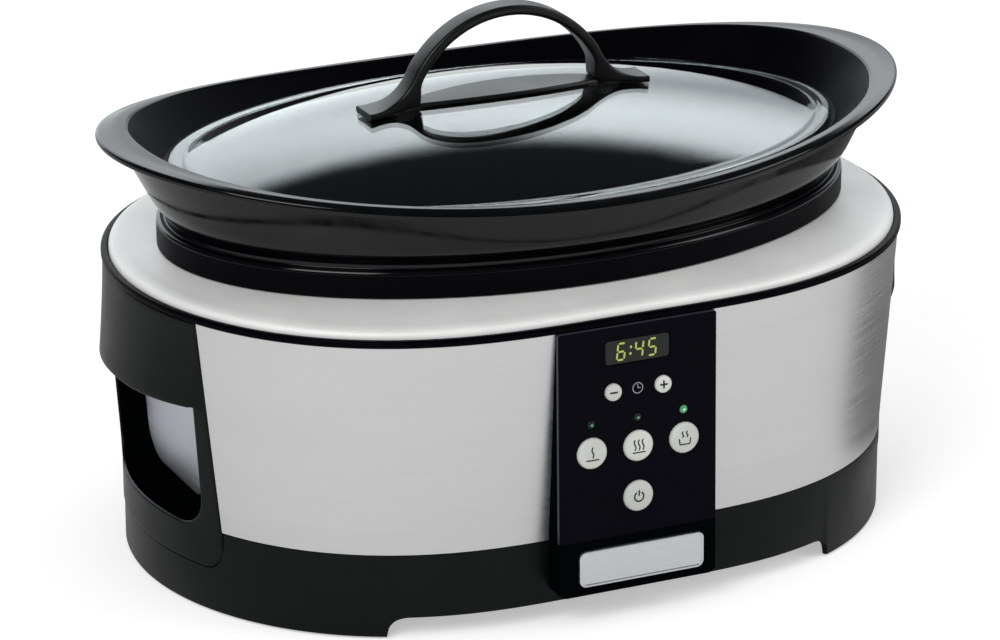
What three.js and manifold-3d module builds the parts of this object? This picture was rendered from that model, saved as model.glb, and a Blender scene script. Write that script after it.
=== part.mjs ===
// Oval programmable slow cooker with a lift-out stoneware crock and a domed glass lid.
//
// Millimetres, +Z up. The origin is on the standing surface under the middle of the housing,
// +X runs along the long axis and the control panel faces -Y.

import * as THREE from 'three';
import { mergeVertices } from 'three/addons/utils/BufferGeometryUtils.js';
import Module from 'manifold-3d';

const wasm = await Module();
wasm.setup();

// ---------------------------------------------------------------------------
// Driving dimensions
// ---------------------------------------------------------------------------

const GAP = 0.3; // between pieces that rest on or fit into each other

// Housing: an oval with flattened long sides, leaning in towards its foot. The dish hollows the
// long sides very slightly in their middle; at nought they are flat there.
const BODY_LENGTH = 420;
const BODY_DEPTH = 302.6;
const WALL_LEAN = 7.5;
const SIDE_DISH = 7.05;
const BASE_TOP = 45;
const WALL_TOP = 156;
const SHEET = 0.8;

// Base moulding, its floor plate and its feet.
const GROUND_CLEARANCE = 0.8;
const BASE_WALL = 2.2;
const BASE_TONGUE = 7;
const ARCH_HEIGHT = 11;
const ARCH_FROM_END = 86;
const ARCH_RADIUS = 11;
const FLOOR_PLATE_HEIGHT = 12;
const FLOOR_PLATE_THICKNESS = 2;
const LEDGE_WIDTH = 10;
const LEDGE_THICKNESS = 5;
const FOOT_FROM_END = 60;
const FOOT_FROM_SIDE = 89.3;
const FOOT_RADIUS = 8;
const FOOT_PAD_HEIGHT = 3.2;
const FOOT_BOSS_WALL = 2;
const VENT_LENGTH = 40;
const VENT_WIDTH = 6;
const VENT_PITCH = 20;
const VENT_Y = -50;
const BASE_SCREW_RADIUS = 2;
const BASE_SCREW_HEAD_RADIUS = 4;
const BASE_SCREW_HEAD_HEIGHT = 2.5;
const BASE_SCREW_LENGTH = 7;

// Ring around the top of the walls and the steel deck inside it.
const RING_TOP = 160;
const RING_OVERHANG = 2;
const RING_INSET = 3.6;
const RING_TONGUE = 6;
const DECK_TOP = 167;
const DECK_THICKNESS = 1;
const DECK_ROLL = 4;
const DECK_SKIRT = 5;
const ROLL_KNEE_RISE = 0.65;
const ROLL_KNEE_INSET = 0.3;

// Heating well under the deck.
const WELL_WALL = 1.2;
const WELL_FLOOR = 38;
const WELL_FLANGE = 6;
const WELL_FLANGE_DROP = 0.9;
const WELL_CORNER = 14;
const BAND_BOTTOM = 58;
const BAND_TOP = 96;
const BAND_THICKNESS = 2.5;
const SENSOR_RADIUS = 11;
const SENSOR_HEIGHT = 7;
const SENSOR_X = 45;
const TIE_RADIUS = 3;
const TIE_HEAD_RADIUS = 6;
const TIE_HEAD_HEIGHT = 3;

// Crock: oval rings with a flared wall and a rim that rises towards both ends.
const DECK_END_WIDTH = 24;
const DECK_SIDE_WIDTH = 28.8;
const CROCK_SHOULDER_STEP = 8.5;
const CROCK_SHOULDER_HEIGHT = 14;
const CROCK_SHOULDER_EDGE = 3;
const CROCK_SHOULDER_BEVEL = 2;
const CROCK_GROOVE_DEPTH = 4.25;
const CROCK_GROOVE_HEIGHT = 3;
const CROCK_THROAT_HEIGHT = 6;
const CROCK_THROAT_FLARE = 6.8;
const CROCK_THROAT_RISE = 2.6;
const CROCK_CORNER = 14;
const CROCK_DRAFT = 9;
const CROCK_CLEARANCE = 2.8;
const CROCK_BOTTOM = 41;
const CROCK_FLOOR = 9;
const CROCK_WALL = 8;
const RIM_END_REACH = 31;
const RIM_SIDE_REACH = 13;
const RIM_HEIGHT = 211.5;
const RIM_RISE = 17.5;
const RIM_THICKNESS = 4.6;
const RIM_END_WIDTH = 18.5;
const RIM_SIDE_WIDTH = 9;
const RIM_FLARE_SHARE = 0.62;
const RIM_MOUTH_POWER = 2.2;
const RIM_MOUTH_DROP = 1.6;
const LEDGE_HEIGHT = 206;
const LEDGE_REST = 10;
const LEDGE_DRAFT = 1.5;
const LID_CLEARANCE = 2.3;

// Glass lid and its handle.
const LID_END_INSET = 36.8;
const LID_SIDE_INSET = 21.1;
const LID_EDGE = 3.4;
const LID_FLANGE = 7.2;
const LID_GLASS = 4;
const LID_DOME = 23;
const LID_EDGE_BEVEL = 1;
const LID_UNDER_FLANGE = 10;
const LID_DOME_SUNK = 0.4;
const GRIP_TOP = 278;
const GRIP_THICKNESS = 5;
const GRIP_RADIUS = 57.5;
const GRIP_WIDTH = 13.5;
const GRIP_BEVEL = 2;
const GRIP_SPAN = 98;
const GRIP_SPRING = THREE.MathUtils.degToRad(32);
const GRIP_SWEEP = 0.3;
const GRIP_BEVEL_STEPS = 2;
const GRIP_CURVE_STEPS = 10;
const GRIP_FEET_LENGTH = 157;
const GRIP_FOOT_HEIGHT = 3.6;
const GRIP_PLATE_WIDTH = 27;
const GRIP_PLATE_OVERLAP = 4;
const GRIP_PLATE_THICKNESS = 2;
const LID_SCREW_X = 56;
const LID_SCREW_RADIUS = 2.5;
const LID_SCREW_HEAD_RADIUS = 5;
const LID_SCREW_HEAD_HEIGHT = 2.5;
const LID_SCREW_GRIP = 6;
const LID_WASHER_RADIUS = 8;
const LID_WASHER_THICKNESS = 1.2;

// End handles: a moulding flush with the walls, flared out into a lip over a finger pocket.
const HANDLE_WIDTH = 135.6;
const HANDLE_TOP_WIDTH = 126.6;
const HANDLE_BOTTOM = 24;
const HANDLE_CORNER = 12;
const HANDLE_PROUD = 0.6;
const HANDLE_WALL = 3.2;
const LIP_BOTTOM = 110;
const LIP_REACH = 9;
const LIP_WALL = 3.9;
const LIP_POWER = 3;
const LIP_ROUND = 1.6;
const LIP_ROOT = 2;
const POCKET_WIDTH = 112.5;
const POCKET_BACK_WIDTH = 80;
const POCKET_BACK_RISE = 6;
const POCKET_DEPTH = 20;
const POCKET_BOTTOM = 43.5;
const POCKET_TOP = 134;
const POCKET_CORNER = 18;
const POCKET_WALL = 2.2;
const POCKET_PLATE = 1;

// Control panel: a shallow box that stands in front of the wall and leans back a little.
const PANEL_WIDTH = 86.6;
const PANEL_BOTTOM = 17.6;
const PANEL_TOP = 156;
const PANEL_PROUD = 6.5;
const PANEL_LEAN = THREE.MathUtils.degToRad(1.43);
const PANEL_WALL = 2.8;
const PANEL_CORNER = 4;
const FASCIA_BOTTOM = 46.4;
const FASCIA_THICKNESS = 2;
const FASCIA_POST_RADIUS = 2.4;
const FASCIA_POST_INSET = 3;
const FASCIA_CORNER = 1;
const BADGE_WIDTH = 69;
const BADGE_HEIGHT = 19;
const BADGE_CENTRE = 31.8;
const BADGE_OFFSET = 1.7;
const BADGE_THICKNESS = 2.2;
const BADGE_RECESS = 0.8;
const BADGE_CORNER = 3.8;
const WINDOW_WIDTH = 35;
const WINDOW_HEIGHT = 12.4;
const WINDOW_CENTRE = 142.6;
const WINDOW_CORNER = 1.8;
const WINDOW_THICKNESS = 1.4;
const WINDOW_SUNK = 0.3;
const DISPLAY_DEPTH = 4;
const DISPLAY_INSET = 1;
const BOARD_THICKNESS = 1.6;
const BOARD_WIDTH = 66;
const BOARD_BOTTOM = 54;
const BOARD_TOP = 131;
const BOARD_DEPTH = 7.4;
const SWITCH_HEIGHT = 0.8;
const WALL_WINDOW_MARGIN = 2.5;
const LARGE_BUTTON_RADIUS = 8;
const SMALL_BUTTON_RADIUS = 4.4;
const BUTTON_PROUD = 1.6;
const BUTTON_CROWN = 1.1;
const BUTTON_FLANGE = 1.2;
const BUTTON_FLANGE_THICKNESS = 1;
const BUTTON_EDGE = 0.6;
const BUTTON_TRAVEL = 1.2;
const BUTTON_STEM_RADIUS = 2.6;
const LENS_RADIUS = 2.1;
const LENS_CROWN = 0.7;

// Places of the buttons and lenses, across the panel and up its face.
const BUTTON_SPREAD = 25.4;
const TIMER_SPREAD = 13.7;
const COOK_ROW = 92.4;
const TIMER_ROW = 122.5;
const POWER_ROW = 66;
const LENS_ROW = 107.1;

// Wiring inside the base and the cord's way out at the back.
const POWER_BOARD_LENGTH = 70;
const POWER_BOARD_DEPTH = 44;
const POWER_BOARD_X = 70;
const POWER_BOARD_Y = 30;
const POWER_BOARD_LIFT = 5;
const POWER_BOARD_POST_INSET = 5;
const POWER_BOARD_POST_RADIUS = 3;
const RELAY_HEIGHT = 12;
const TERMINAL_LENGTH = 32;
const TERMINAL_DEPTH = 14;
const TERMINAL_HEIGHT = 12;
const TERMINAL_FROM_SIDE = 46.3;
const GLAND_HEIGHT = 31;
const GLAND_BORE = 4;
const GLAND_NECK = 7;
const GLAND_FLANGE_RADIUS = 10;
const GLAND_FLANGE = 2.5;

// Fineness of the curved faces.
const HOUSING_SIDES = 64;
const CROCK_SIDES = 48;
const ROUND_SIDES = 18;
const SMALL_SIDES = 12;
const HEX_SIDES = 6;
const CURVE_STEPS = 3;

// How far a cutting tool runs past what it cuts, and how far joined solids sink into each other.
const CUT_PAST = 1;
const JOIN_DEPTH = 1;

// ---------------------------------------------------------------------------
// Materials
// ---------------------------------------------------------------------------

function material(color, roughness, metalness) {
  return new THREE.MeshStandardMaterial({ color, roughness, metalness });
}

const brushedSteel = () => material(0xb9bab8, 0.35, 1);
const blackPlastic = () => material(0x1b1d1c, 0.45, 0);
const glossBlack = () => material(0x0b0b0e, 0.15, 0);
const rubber = () => material(0x202020, 0.8, 0);
const stoneware = () => material(0x0c0c0c, 0.12, 0);
const aluminium = () => material(0xc4c6c8, 0.3, 1);
const glass = () => material(0x9fa6a6, 0.05, 0);
const buttonGrey = () => material(0xcfd2d2, 0.4, 0);
const lensGreen = () => material(0x3fa34a, 0.25, 0);
const boardGreen = () => material(0x1f4d33, 0.6, 0);
const zincSteel = () => material(0x9a9da0, 0.4, 1);

// ---------------------------------------------------------------------------
// Solids
// ---------------------------------------------------------------------------

function toSolid(geometry) {
  const bare = geometry.clone();
  bare.deleteAttribute('normal');
  bare.deleteAttribute('uv');
  const merged = mergeVertices(bare);
  return new wasm.Manifold(new wasm.Mesh({
    numProp: 3,
    vertProperties: Float32Array.from(merged.attributes.position.array),
    triVerts: Uint32Array.from(merged.index.array),
  }));
}

function toGeometry(solid) {
  const mesh = solid.getMesh();
  const geometry = new THREE.BufferGeometry();
  geometry.setAttribute('position', new THREE.BufferAttribute(mesh.vertProperties, 3));
  geometry.setIndex(new THREE.BufferAttribute(mesh.triVerts, 1));
  return geometry;
}

function cut(geometry, ...tools) {
  let solid = toSolid(geometry);
  for (const tool of tools) solid = solid.subtract(toSolid(tool));
  return toGeometry(solid);
}

function join(geometry, ...others) {
  let solid = toSolid(geometry);
  for (const other of others) solid = solid.add(toSolid(other));
  return toGeometry(solid);
}

function overlap(geometry, other) {
  return toGeometry(toSolid(geometry).intersect(toSolid(other)));
}

// Solid through a stack of rings. A looped stack closes on itself, an open one gets two caps.
// Rings run anticlockwise seen from above; outer faces go up the stack, inner faces come down it.
function loft(rings, looped) {
  const count = rings[0].length;
  const points = rings.flat();
  const index = [];
  const steps = looped ? rings.length : rings.length - 1;
  for (let step = 0; step < steps; step++) {
    const lower = step * count;
    const upper = ((step + 1) % rings.length) * count;
    for (let i = 0; i < count; i++) {
      const j = (i + 1) % count;
      index.push(lower + i, lower + j, upper + j);
      index.push(lower + i, upper + j, upper + i);
    }
  }
  if (!looped) {
    const last = (rings.length - 1) * count;
    const bottom = points.length;
    const top = bottom + 1;
    points.push(ringCentre(rings[0]), ringCentre(rings[rings.length - 1]));
    for (let i = 0; i < count; i++) {
      const j = (i + 1) % count;
      index.push(bottom, j, i);
      index.push(top, last + i, last + j);
    }
  }
  const geometry = new THREE.BufferGeometry().setFromPoints(points);
  geometry.setIndex(index);
  return geometry;
}

function ringCentre(ring) {
  const centre = new THREE.Vector3();
  for (const point of ring) centre.add(point);
  return centre.divideScalar(ring.length);
}

function box(minX, maxX, minY, maxY, minZ, maxZ) {
  const geometry = new THREE.BoxGeometry(maxX - minX, maxY - minY, maxZ - minZ);
  return geometry.translate((minX + maxX) / 2, (minY + maxY) / 2, (minZ + maxZ) / 2);
}

// Upright cylinder from one height to another.
function post(radius, x, y, bottom, top, sides = ROUND_SIDES) {
  const geometry = new THREE.CylinderGeometry(radius, radius, top - bottom, sides);
  return geometry.rotateX(Math.PI / 2).translate(x, y, (bottom + top) / 2);
}

// Solid turned around the Y axis from [radius, y] pairs that start and end on the axis.
function turned(profile, sides = ROUND_SIDES) {
  const points = profile.map(([radius, y]) => new THREE.Vector2(radius, y));
  return new THREE.LatheGeometry(points, sides);
}

const QUARTER = Math.PI / 2;

// Rectangle with rounded corners; bottom and top corners may differ.
function roundedRectangle(halfWidth, bottom, top, bottomRadius, topRadius) {
  const shape = new THREE.Shape();
  shape.moveTo(-halfWidth + bottomRadius, bottom);
  shape.lineTo(halfWidth - bottomRadius, bottom);
  shape.absarc(halfWidth - bottomRadius, bottom + bottomRadius, bottomRadius, -QUARTER, 0);
  shape.lineTo(halfWidth, top - topRadius);
  if (topRadius > 0) shape.absarc(halfWidth - topRadius, top - topRadius, topRadius, 0, QUARTER);
  shape.lineTo(-halfWidth + topRadius, top);
  if (topRadius > 0) shape.absarc(-halfWidth + topRadius, top - topRadius, topRadius, QUARTER, 2 * QUARTER);
  shape.lineTo(-halfWidth, bottom + bottomRadius);
  shape.absarc(-halfWidth + bottomRadius, bottom + bottomRadius, bottomRadius, 2 * QUARTER, 3 * QUARTER);
  return shape;
}

// Outline in X and Z pushed from one depth to another along Y.
function alongY(shape, near, far, curveSegments = CURVE_STEPS) {
  const settings = { depth: far - near, bevelEnabled: false, curveSegments };
  return new THREE.ExtrudeGeometry(shape, settings).rotateX(Math.PI / 2).translate(0, far, 0);
}

// Outline in Y and Z pushed along X.
function alongX(shape, near, far, curveSegments = CURVE_STEPS) {
  const settings = { depth: far - near, bevelEnabled: false, curveSegments };
  const geometry = new THREE.ExtrudeGeometry(shape, settings);
  return geometry.rotateX(Math.PI / 2).rotateZ(Math.PI / 2).translate(near, 0, 0);
}

// ---------------------------------------------------------------------------
// Outlines
// ---------------------------------------------------------------------------

// How far the four shoulders are pushed outward, so that the long sides are as flat as wanted.
const SHOULDER_FULLNESS = (BODY_DEPTH / 2 + 2 * SIDE_DISH - (BODY_LENGTH - BODY_DEPTH)) / 16;

// Housing outline: a swing between the half axes, with the four shoulders pushed outward.
function housingPoint(halfLength, halfDepth, angle) {
  const mean = (halfLength + halfDepth) / 2 + SHOULDER_FULLNESS;
  const swing = (halfLength - halfDepth) / 2;
  const reach = mean + swing * Math.cos(2 * angle) - SHOULDER_FULLNESS * Math.cos(4 * angle);
  return new THREE.Vector2(reach * Math.cos(angle), reach * Math.sin(angle));
}

function wallRise(height) {
  return THREE.MathUtils.clamp((height - BASE_TOP) / (WALL_TOP - BASE_TOP), 0, 1);
}

// Ring of the housing at a height, pushed outward by an offset (a number or a function of the point).
function housingRing(height, offset) {
  const ring = [];
  for (let i = 0; i < HOUSING_SIDES; i++) {
    const angle = (2 * Math.PI * i) / HOUSING_SIDES;
    const point = housingOffsetPoint(angle, offset, height);
    ring.push(new THREE.Vector3(point.x, point.y, height));
  }
  return ring;
}

function housingOffsetPoint(angle, offset, height) {
  const lean = WALL_LEAN * (1 - wallRise(height));
  const halfLength = BODY_LENGTH / 2 - lean;
  const halfDepth = BODY_DEPTH / 2 - lean;
  const point = housingPoint(halfLength, halfDepth, angle);
  const ahead = housingPoint(halfLength, halfDepth, angle + 0.001);
  const outward = new THREE.Vector2(ahead.y - point.y, point.x - ahead.x).normalize();
  const distance = typeof offset === 'function' ? offset(point) : offset;
  return point.addScaledVector(outward, distance);
}

const ELLIPSE = 2;

// Oval ring that may rise towards its two ends; a power above an ellipse's gives fuller corners.
function ovalRing(halfLength, halfDepth, height, rise = 0, power = ELLIPSE, sides = CROCK_SIDES) {
  const ring = [];
  for (let i = 0; i < sides; i++) {
    const angle = (2 * Math.PI * i) / sides;
    const along = Math.cos(angle);
    const across = Math.sin(angle);
    const x = halfLength * Math.sign(along) * Math.abs(along) ** (2 / power);
    const y = halfDepth * Math.sign(across) * Math.abs(across) ** (2 / power);
    ring.push(new THREE.Vector3(x, y, height + rise * (x / halfLength) ** 2));
  }
  return ring;
}

// The lean changes at the foot and at the top of the walls, so a ring goes in at each.
function bandHeights(bottom, top) {
  const bends = [BASE_TOP, WALL_TOP].filter((height) => height > bottom && height < top);
  return [bottom, ...bends, top];
}

// Band of the housing between two heights and two offsets.
function housingBand(bottom, top, inner, outer) {
  const heights = bandHeights(bottom, top);
  const outerRings = heights.map((height) => housingRing(height, outer));
  const innerRings = heights.map((height) => housingRing(height, inner));
  return loft([...outerRings, ...innerRings.reverse()], true);
}

// Filled housing between two heights, at one offset.
function housingBlock(bottom, top, offset) {
  return loft(bandHeights(bottom, top).map((height) => housingRing(height, offset)), false);
}

// ---------------------------------------------------------------------------
// Base: skirt, floor plate, feet and fastenings
// ---------------------------------------------------------------------------

const SIDES = [-1, 1];
const CORNERS = SIDES.flatMap((sideX) => SIDES.map((sideY) => [sideX, sideY]));
const BASE_HALF_DEPTH = BODY_DEPTH / 2 - WALL_LEAN;
const BASE_INSIDE = -(SHEET + GAP + BASE_WALL);
const INSIDE_FLOOR = FLOOR_PLATE_HEIGHT + FLOOR_PLATE_THICKNESS;
const LEDGE_BOTTOM = INSIDE_FLOOR + GAP;
const LEDGE_SCREW_INSET = BASE_INSIDE - LEDGE_WIDTH / 2;

const HANDLE_NARROWING = (HANDLE_WIDTH - HANDLE_TOP_WIDTH) / 2;

// Outline of an end handle seen from its end, also used to clear the skirt and the walls around it.
function handleOutline(margin) {
  const bottom = HANDLE_BOTTOM - margin;
  const top = WALL_TOP + margin;
  const corner = HANDLE_CORNER + margin;
  const outline = roundedRectangle(HANDLE_WIDTH / 2 + margin, bottom, top, corner, 0);
  const points = outline.getPoints(CURVE_STEPS).map(({ x, y }) => {
    const narrowing = HANDLE_NARROWING * ((y - bottom) / (top - bottom));
    return new THREE.Vector2(x - Math.sign(x) * narrowing, y);
  });
  return new THREE.Shape(points);
}

// Block that covers one end of the housing inside the handle's outline.
function handleZone(side, margin) {
  const inner = BODY_LENGTH / 4;
  const outer = BODY_LENGTH;
  return alongX(handleOutline(margin), side > 0 ? inner : -outer, side > 0 ? outer : -inner);
}

function archCutter() {
  const halfLength = BODY_LENGTH / 2 - ARCH_FROM_END;
  const shape = new THREE.Shape();
  shape.moveTo(-halfLength, -ARCH_HEIGHT);
  shape.lineTo(halfLength, -ARCH_HEIGHT);
  shape.lineTo(halfLength, 0);
  shape.quadraticCurveTo(halfLength - 1, ARCH_HEIGHT, halfLength - ARCH_RADIUS, ARCH_HEIGHT);
  shape.lineTo(ARCH_RADIUS - halfLength, ARCH_HEIGHT);
  shape.quadraticCurveTo(1 - halfLength, ARCH_HEIGHT, -halfLength, 0);
  return alongY(shape, -BODY_DEPTH, BODY_DEPTH);
}

const FOOT_X = BODY_LENGTH / 2 - FOOT_FROM_END;
const FOOT_Y = BODY_DEPTH / 2 - FOOT_FROM_SIDE;

// Seats of the four base screws, on the ledge inside the skirt and clear of the arches.
function baseScrewSeats() {
  const seat = housingOffsetPoint(Math.atan2(FOOT_Y, FOOT_X), LEDGE_SCREW_INSET, 0);
  return CORNERS.map(([sideX, sideY]) => [sideX * seat.x, sideY * seat.y]);
}

function glandHole(radius) {
  const hole = new THREE.CylinderGeometry(radius, radius, GLAND_FLANGE_RADIUS * 4, ROUND_SIDES);
  return hole.translate(0, BASE_HALF_DEPTH, GLAND_HEIGHT);
}

function baseSkirt() {
  const tongueOuter = -(SHEET + GAP);
  const tongueTop = BASE_TOP + BASE_TONGUE;
  const ledgeInner = BASE_INSIDE - LEDGE_WIDTH;
  const ledgeTop = LEDGE_BOTTOM + LEDGE_THICKNESS;
  const body = loft([
    housingRing(GROUND_CLEARANCE, 0),
    housingRing(BASE_TOP - GAP, 0),
    housingRing(BASE_TOP - GAP, tongueOuter),
    housingRing(tongueTop, tongueOuter),
    housingRing(tongueTop, BASE_INSIDE),
    housingRing(ledgeTop, BASE_INSIDE),
    housingRing(ledgeTop, ledgeInner),
    housingRing(LEDGE_BOTTOM, ledgeInner),
    housingRing(LEDGE_BOTTOM, BASE_INSIDE),
    housingRing(GROUND_CLEARANCE, BASE_INSIDE),
  ], true);
  const screwHoles = baseScrewSeats().map(([x, y]) => {
    const bottom = LEDGE_BOTTOM - CUT_PAST;
    return post(BASE_SCREW_RADIUS + GAP, x, y, bottom, ledgeTop + CUT_PAST, SMALL_SIDES);
  });
  const handles = SIDES.map((side) => handleZone(side, GAP));
  return cut(body, archCutter(), ...handles, glandHole(GLAND_NECK + GAP), ...screwHoles);
}

function footSeats() {
  return CORNERS.map(([sideX, sideY]) => [sideX * FOOT_X, sideY * FOOT_Y]);
}

function powerBoardPosts(bottom, top, radius) {
  const reachX = POWER_BOARD_LENGTH / 2 - POWER_BOARD_POST_INSET;
  const reachY = POWER_BOARD_DEPTH / 2 - POWER_BOARD_POST_INSET;
  return CORNERS.map(([sideX, sideY]) => {
    const x = POWER_BOARD_X + sideX * reachX;
    const y = POWER_BOARD_Y + sideY * reachY;
    return post(radius, x, y, bottom, top, SMALL_SIDES);
  });
}

function floorPlate() {
  const top = INSIDE_FLOOR;
  const plate = housingBlock(FLOOR_PLATE_HEIGHT, top, BASE_INSIDE - GAP);
  const bosses = footSeats().map(([x, y]) => {
    const bottom = FOOT_PAD_HEIGHT + GAP;
    return post(FOOT_RADIUS + FOOT_BOSS_WALL, x, y, bottom, FLOOR_PLATE_HEIGHT + JOIN_DEPTH);
  });
  const boardPosts = powerBoardPosts(
    top - JOIN_DEPTH,
    top + POWER_BOARD_LIFT - GAP,
    POWER_BOARD_POST_RADIUS,
  );
  const screwHoles = baseScrewSeats().map(([x, y]) => {
    return post(BASE_SCREW_RADIUS + GAP, x, y, 0, top + CUT_PAST, SMALL_SIDES);
  });
  const tieHole = post(TIE_RADIUS + GAP, 0, 0, 0, top + CUT_PAST);
  const vents = SIDES.flatMap((side) => [1, 2, 3].map((slot) => {
    const middle = side * slot * VENT_PITCH;
    return box(middle - VENT_WIDTH / 2, middle + VENT_WIDTH / 2, VENT_Y - VENT_LENGTH / 2,
      VENT_Y + VENT_LENGTH / 2, 0, top + CUT_PAST);
  }));
  return cut(join(plate, ...bosses, ...boardPosts), tieHole, ...screwHoles, ...vents);
}

function footPad() {
  return post(FOOT_RADIUS, 0, 0, 0, FOOT_PAD_HEIGHT);
}

function baseScrew() {
  const headTop = FLOOR_PLATE_HEIGHT - GAP;
  const headBottom = headTop - BASE_SCREW_HEAD_HEIGHT;
  const head = post(BASE_SCREW_HEAD_RADIUS, 0, 0, headBottom, headTop, SMALL_SIDES);
  const shankTop = headTop + BASE_SCREW_LENGTH;
  const shank = post(BASE_SCREW_RADIUS, 0, 0, headTop - JOIN_DEPTH, shankTop, SMALL_SIDES);
  return join(head, shank);
}

// ---------------------------------------------------------------------------
// Walls, ring and deck
// ---------------------------------------------------------------------------

const WALL_WINDOW_HALF_WIDTH = BOARD_WIDTH / 2 + WALL_WINDOW_MARGIN;
const WALL_WINDOW_BOTTOM = BOARD_BOTTOM - WALL_WINDOW_MARGIN;
const WALL_WINDOW_TOP = WINDOW_CENTRE + WINDOW_HEIGHT / 2 + WALL_WINDOW_MARGIN;

function wallSheets() {
  const sheet = housingBand(BASE_TOP, WALL_TOP, -SHEET, 0);
  return cut(sheet, ...SIDES.map((side) => handleZone(side, GAP)));
}

function steelWall(side) {
  const near = side > 0 ? 0 : -BODY_DEPTH;
  const half = box(-BODY_LENGTH, BODY_LENGTH, near, near + BODY_DEPTH, 0, 2 * WALL_TOP);
  const wall = overlap(wallSheets(), half);
  if (side > 0) return wall;
  const width = WALL_WINDOW_HALF_WIDTH;
  return cut(wall, box(-width, width, -BODY_DEPTH, 0, WALL_WINDOW_BOTTOM, WALL_WINDOW_TOP));
}

function trimRing() {
  const underside = WALL_TOP + GAP;
  const tongueBottom = WALL_TOP - RING_TONGUE;
  const tongueOuter = -(SHEET + GAP);
  const nose = (RING_TOP - underside) / 4;
  return loft([
    housingRing(underside, -SHEET / 2),
    housingRing(underside + nose, RING_OVERHANG - GAP),
    housingRing(underside + 2 * nose, RING_OVERHANG),
    housingRing(RING_TOP - nose / 2, RING_OVERHANG - nose),
    housingRing(RING_TOP, -SHEET / 2),
    housingRing(RING_TOP, -RING_INSET),
    housingRing(tongueBottom, -RING_INSET),
    housingRing(tongueBottom, tongueOuter),
    housingRing(underside, tongueOuter),
  ], true);
}

const NECK_HALF_LENGTH = BODY_LENGTH / 2 - DECK_END_WIDTH;
const NECK_HALF_DEPTH = BODY_DEPTH / 2 - DECK_SIDE_WIDTH;
const CROCK_HALF_LENGTH = NECK_HALF_LENGTH - CROCK_SHOULDER_STEP;
const CROCK_HALF_DEPTH = NECK_HALF_DEPTH - CROCK_SHOULDER_STEP;
const DECK_EDGE = RING_INSET + GAP;
const DECK_ROLL_TOP = RING_TOP + DECK_ROLL;
const DECK_HOLE_LENGTH = CROCK_HALF_LENGTH + CROCK_CLEARANCE;
const DECK_HOLE_DEPTH = CROCK_HALF_DEPTH + CROCK_CLEARANCE;

function deckRings(thickness) {
  const edge = (height, inset) => housingRing(height - thickness, -(DECK_EDGE + inset));
  const holeHeight = DECK_TOP - thickness;
  const kneeInset = DECK_ROLL * ROLL_KNEE_INSET + thickness * (1 - ROLL_KNEE_INSET);
  return [
    edge(RING_TOP, thickness),
    edge(RING_TOP + DECK_ROLL * ROLL_KNEE_RISE, kneeInset),
    edge(DECK_ROLL_TOP, DECK_ROLL + thickness * ROLL_KNEE_INSET),
    ovalRing(DECK_HOLE_LENGTH, DECK_HOLE_DEPTH, holeHeight, 0, ELLIPSE, HOUSING_SIDES),
  ];
}

function deckPlate() {
  const skirtBottom = RING_TOP - DECK_SKIRT;
  const skirt = (offset) => housingRing(skirtBottom, -(DECK_EDGE + offset));
  const under = deckRings(DECK_THICKNESS).reverse();
  return loft([skirt(0), ...deckRings(0), ...under, skirt(DECK_THICKNESS)], true);
}

// ---------------------------------------------------------------------------
// Heating well
// ---------------------------------------------------------------------------

const WELL_RIM = DECK_TOP - DECK_THICKNESS - GAP;
const WELL_TAPER_HEIGHT = DECK_TOP - CROCK_BOTTOM;

// Half axes of the well's inside at a height.
function wellInside(height) {
  const draft = (CROCK_DRAFT * (DECK_TOP - height)) / WELL_TAPER_HEIGHT;
  return [DECK_HOLE_LENGTH - draft, DECK_HOLE_DEPTH - draft];
}

function wellRing(height, offset) {
  const [halfLength, halfDepth] = wellInside(height);
  return ovalRing(halfLength + offset, halfDepth + offset, height);
}

// Quarter round from a flat bottom up into the wall; grow adds thickness outside it.
function footRound(halfLength, halfDepth, bottom, radius, grow) {
  return [0, 0.5, 1].map((turn) => {
    const angle = (turn * Math.PI) / 2;
    const outward = grow * Math.sin(angle) - radius * (1 - Math.sin(angle));
    const lift = (radius + grow) * (1 - Math.cos(angle));
    return ovalRing(halfLength + outward, halfDepth + outward, bottom - grow + lift);
  });
}

function heatingWell() {
  const [length, depth] = wellInside(WELL_FLOOR + WELL_CORNER);
  const outside = footRound(length, depth, WELL_FLOOR, WELL_CORNER, WELL_WALL);
  const inside = footRound(length, depth, WELL_FLOOR, WELL_CORNER, 0);
  const flange = (height, reach) => {
    return ovalRing(DECK_HOLE_LENGTH + reach, DECK_HOLE_DEPTH + reach, height);
  };
  return loft([
    ...outside,
    wellRing(WELL_RIM - WELL_WALL, WELL_WALL),
    flange(WELL_RIM - WELL_WALL - WELL_FLANGE_DROP, WELL_FLANGE),
    flange(WELL_RIM - WELL_FLANGE_DROP, WELL_FLANGE),
    wellRing(WELL_RIM, 0),
    ...inside.reverse(),
  ], false);
}

function heaterBand() {
  const inner = WELL_WALL + GAP;
  return loft([
    wellRing(BAND_BOTTOM, inner + BAND_THICKNESS),
    wellRing(BAND_TOP, inner + BAND_THICKNESS),
    wellRing(BAND_TOP, inner),
    wellRing(BAND_BOTTOM, inner),
  ], true);
}

function heatSensor() {
  const top = WELL_FLOOR - WELL_WALL - GAP;
  return post(SENSOR_RADIUS, SENSOR_X, 0, top - SENSOR_HEIGHT, top);
}

function tieBolt() {
  const top = WELL_FLOOR - WELL_WALL - GAP;
  const headTop = FLOOR_PLATE_HEIGHT - GAP;
  const head = post(TIE_HEAD_RADIUS, 0, 0, headTop - TIE_HEAD_HEIGHT, headTop, HEX_SIDES);
  return join(head, post(TIE_RADIUS, 0, 0, headTop - JOIN_DEPTH, top, SMALL_SIDES));
}

// ---------------------------------------------------------------------------
// Crock
// ---------------------------------------------------------------------------

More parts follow.
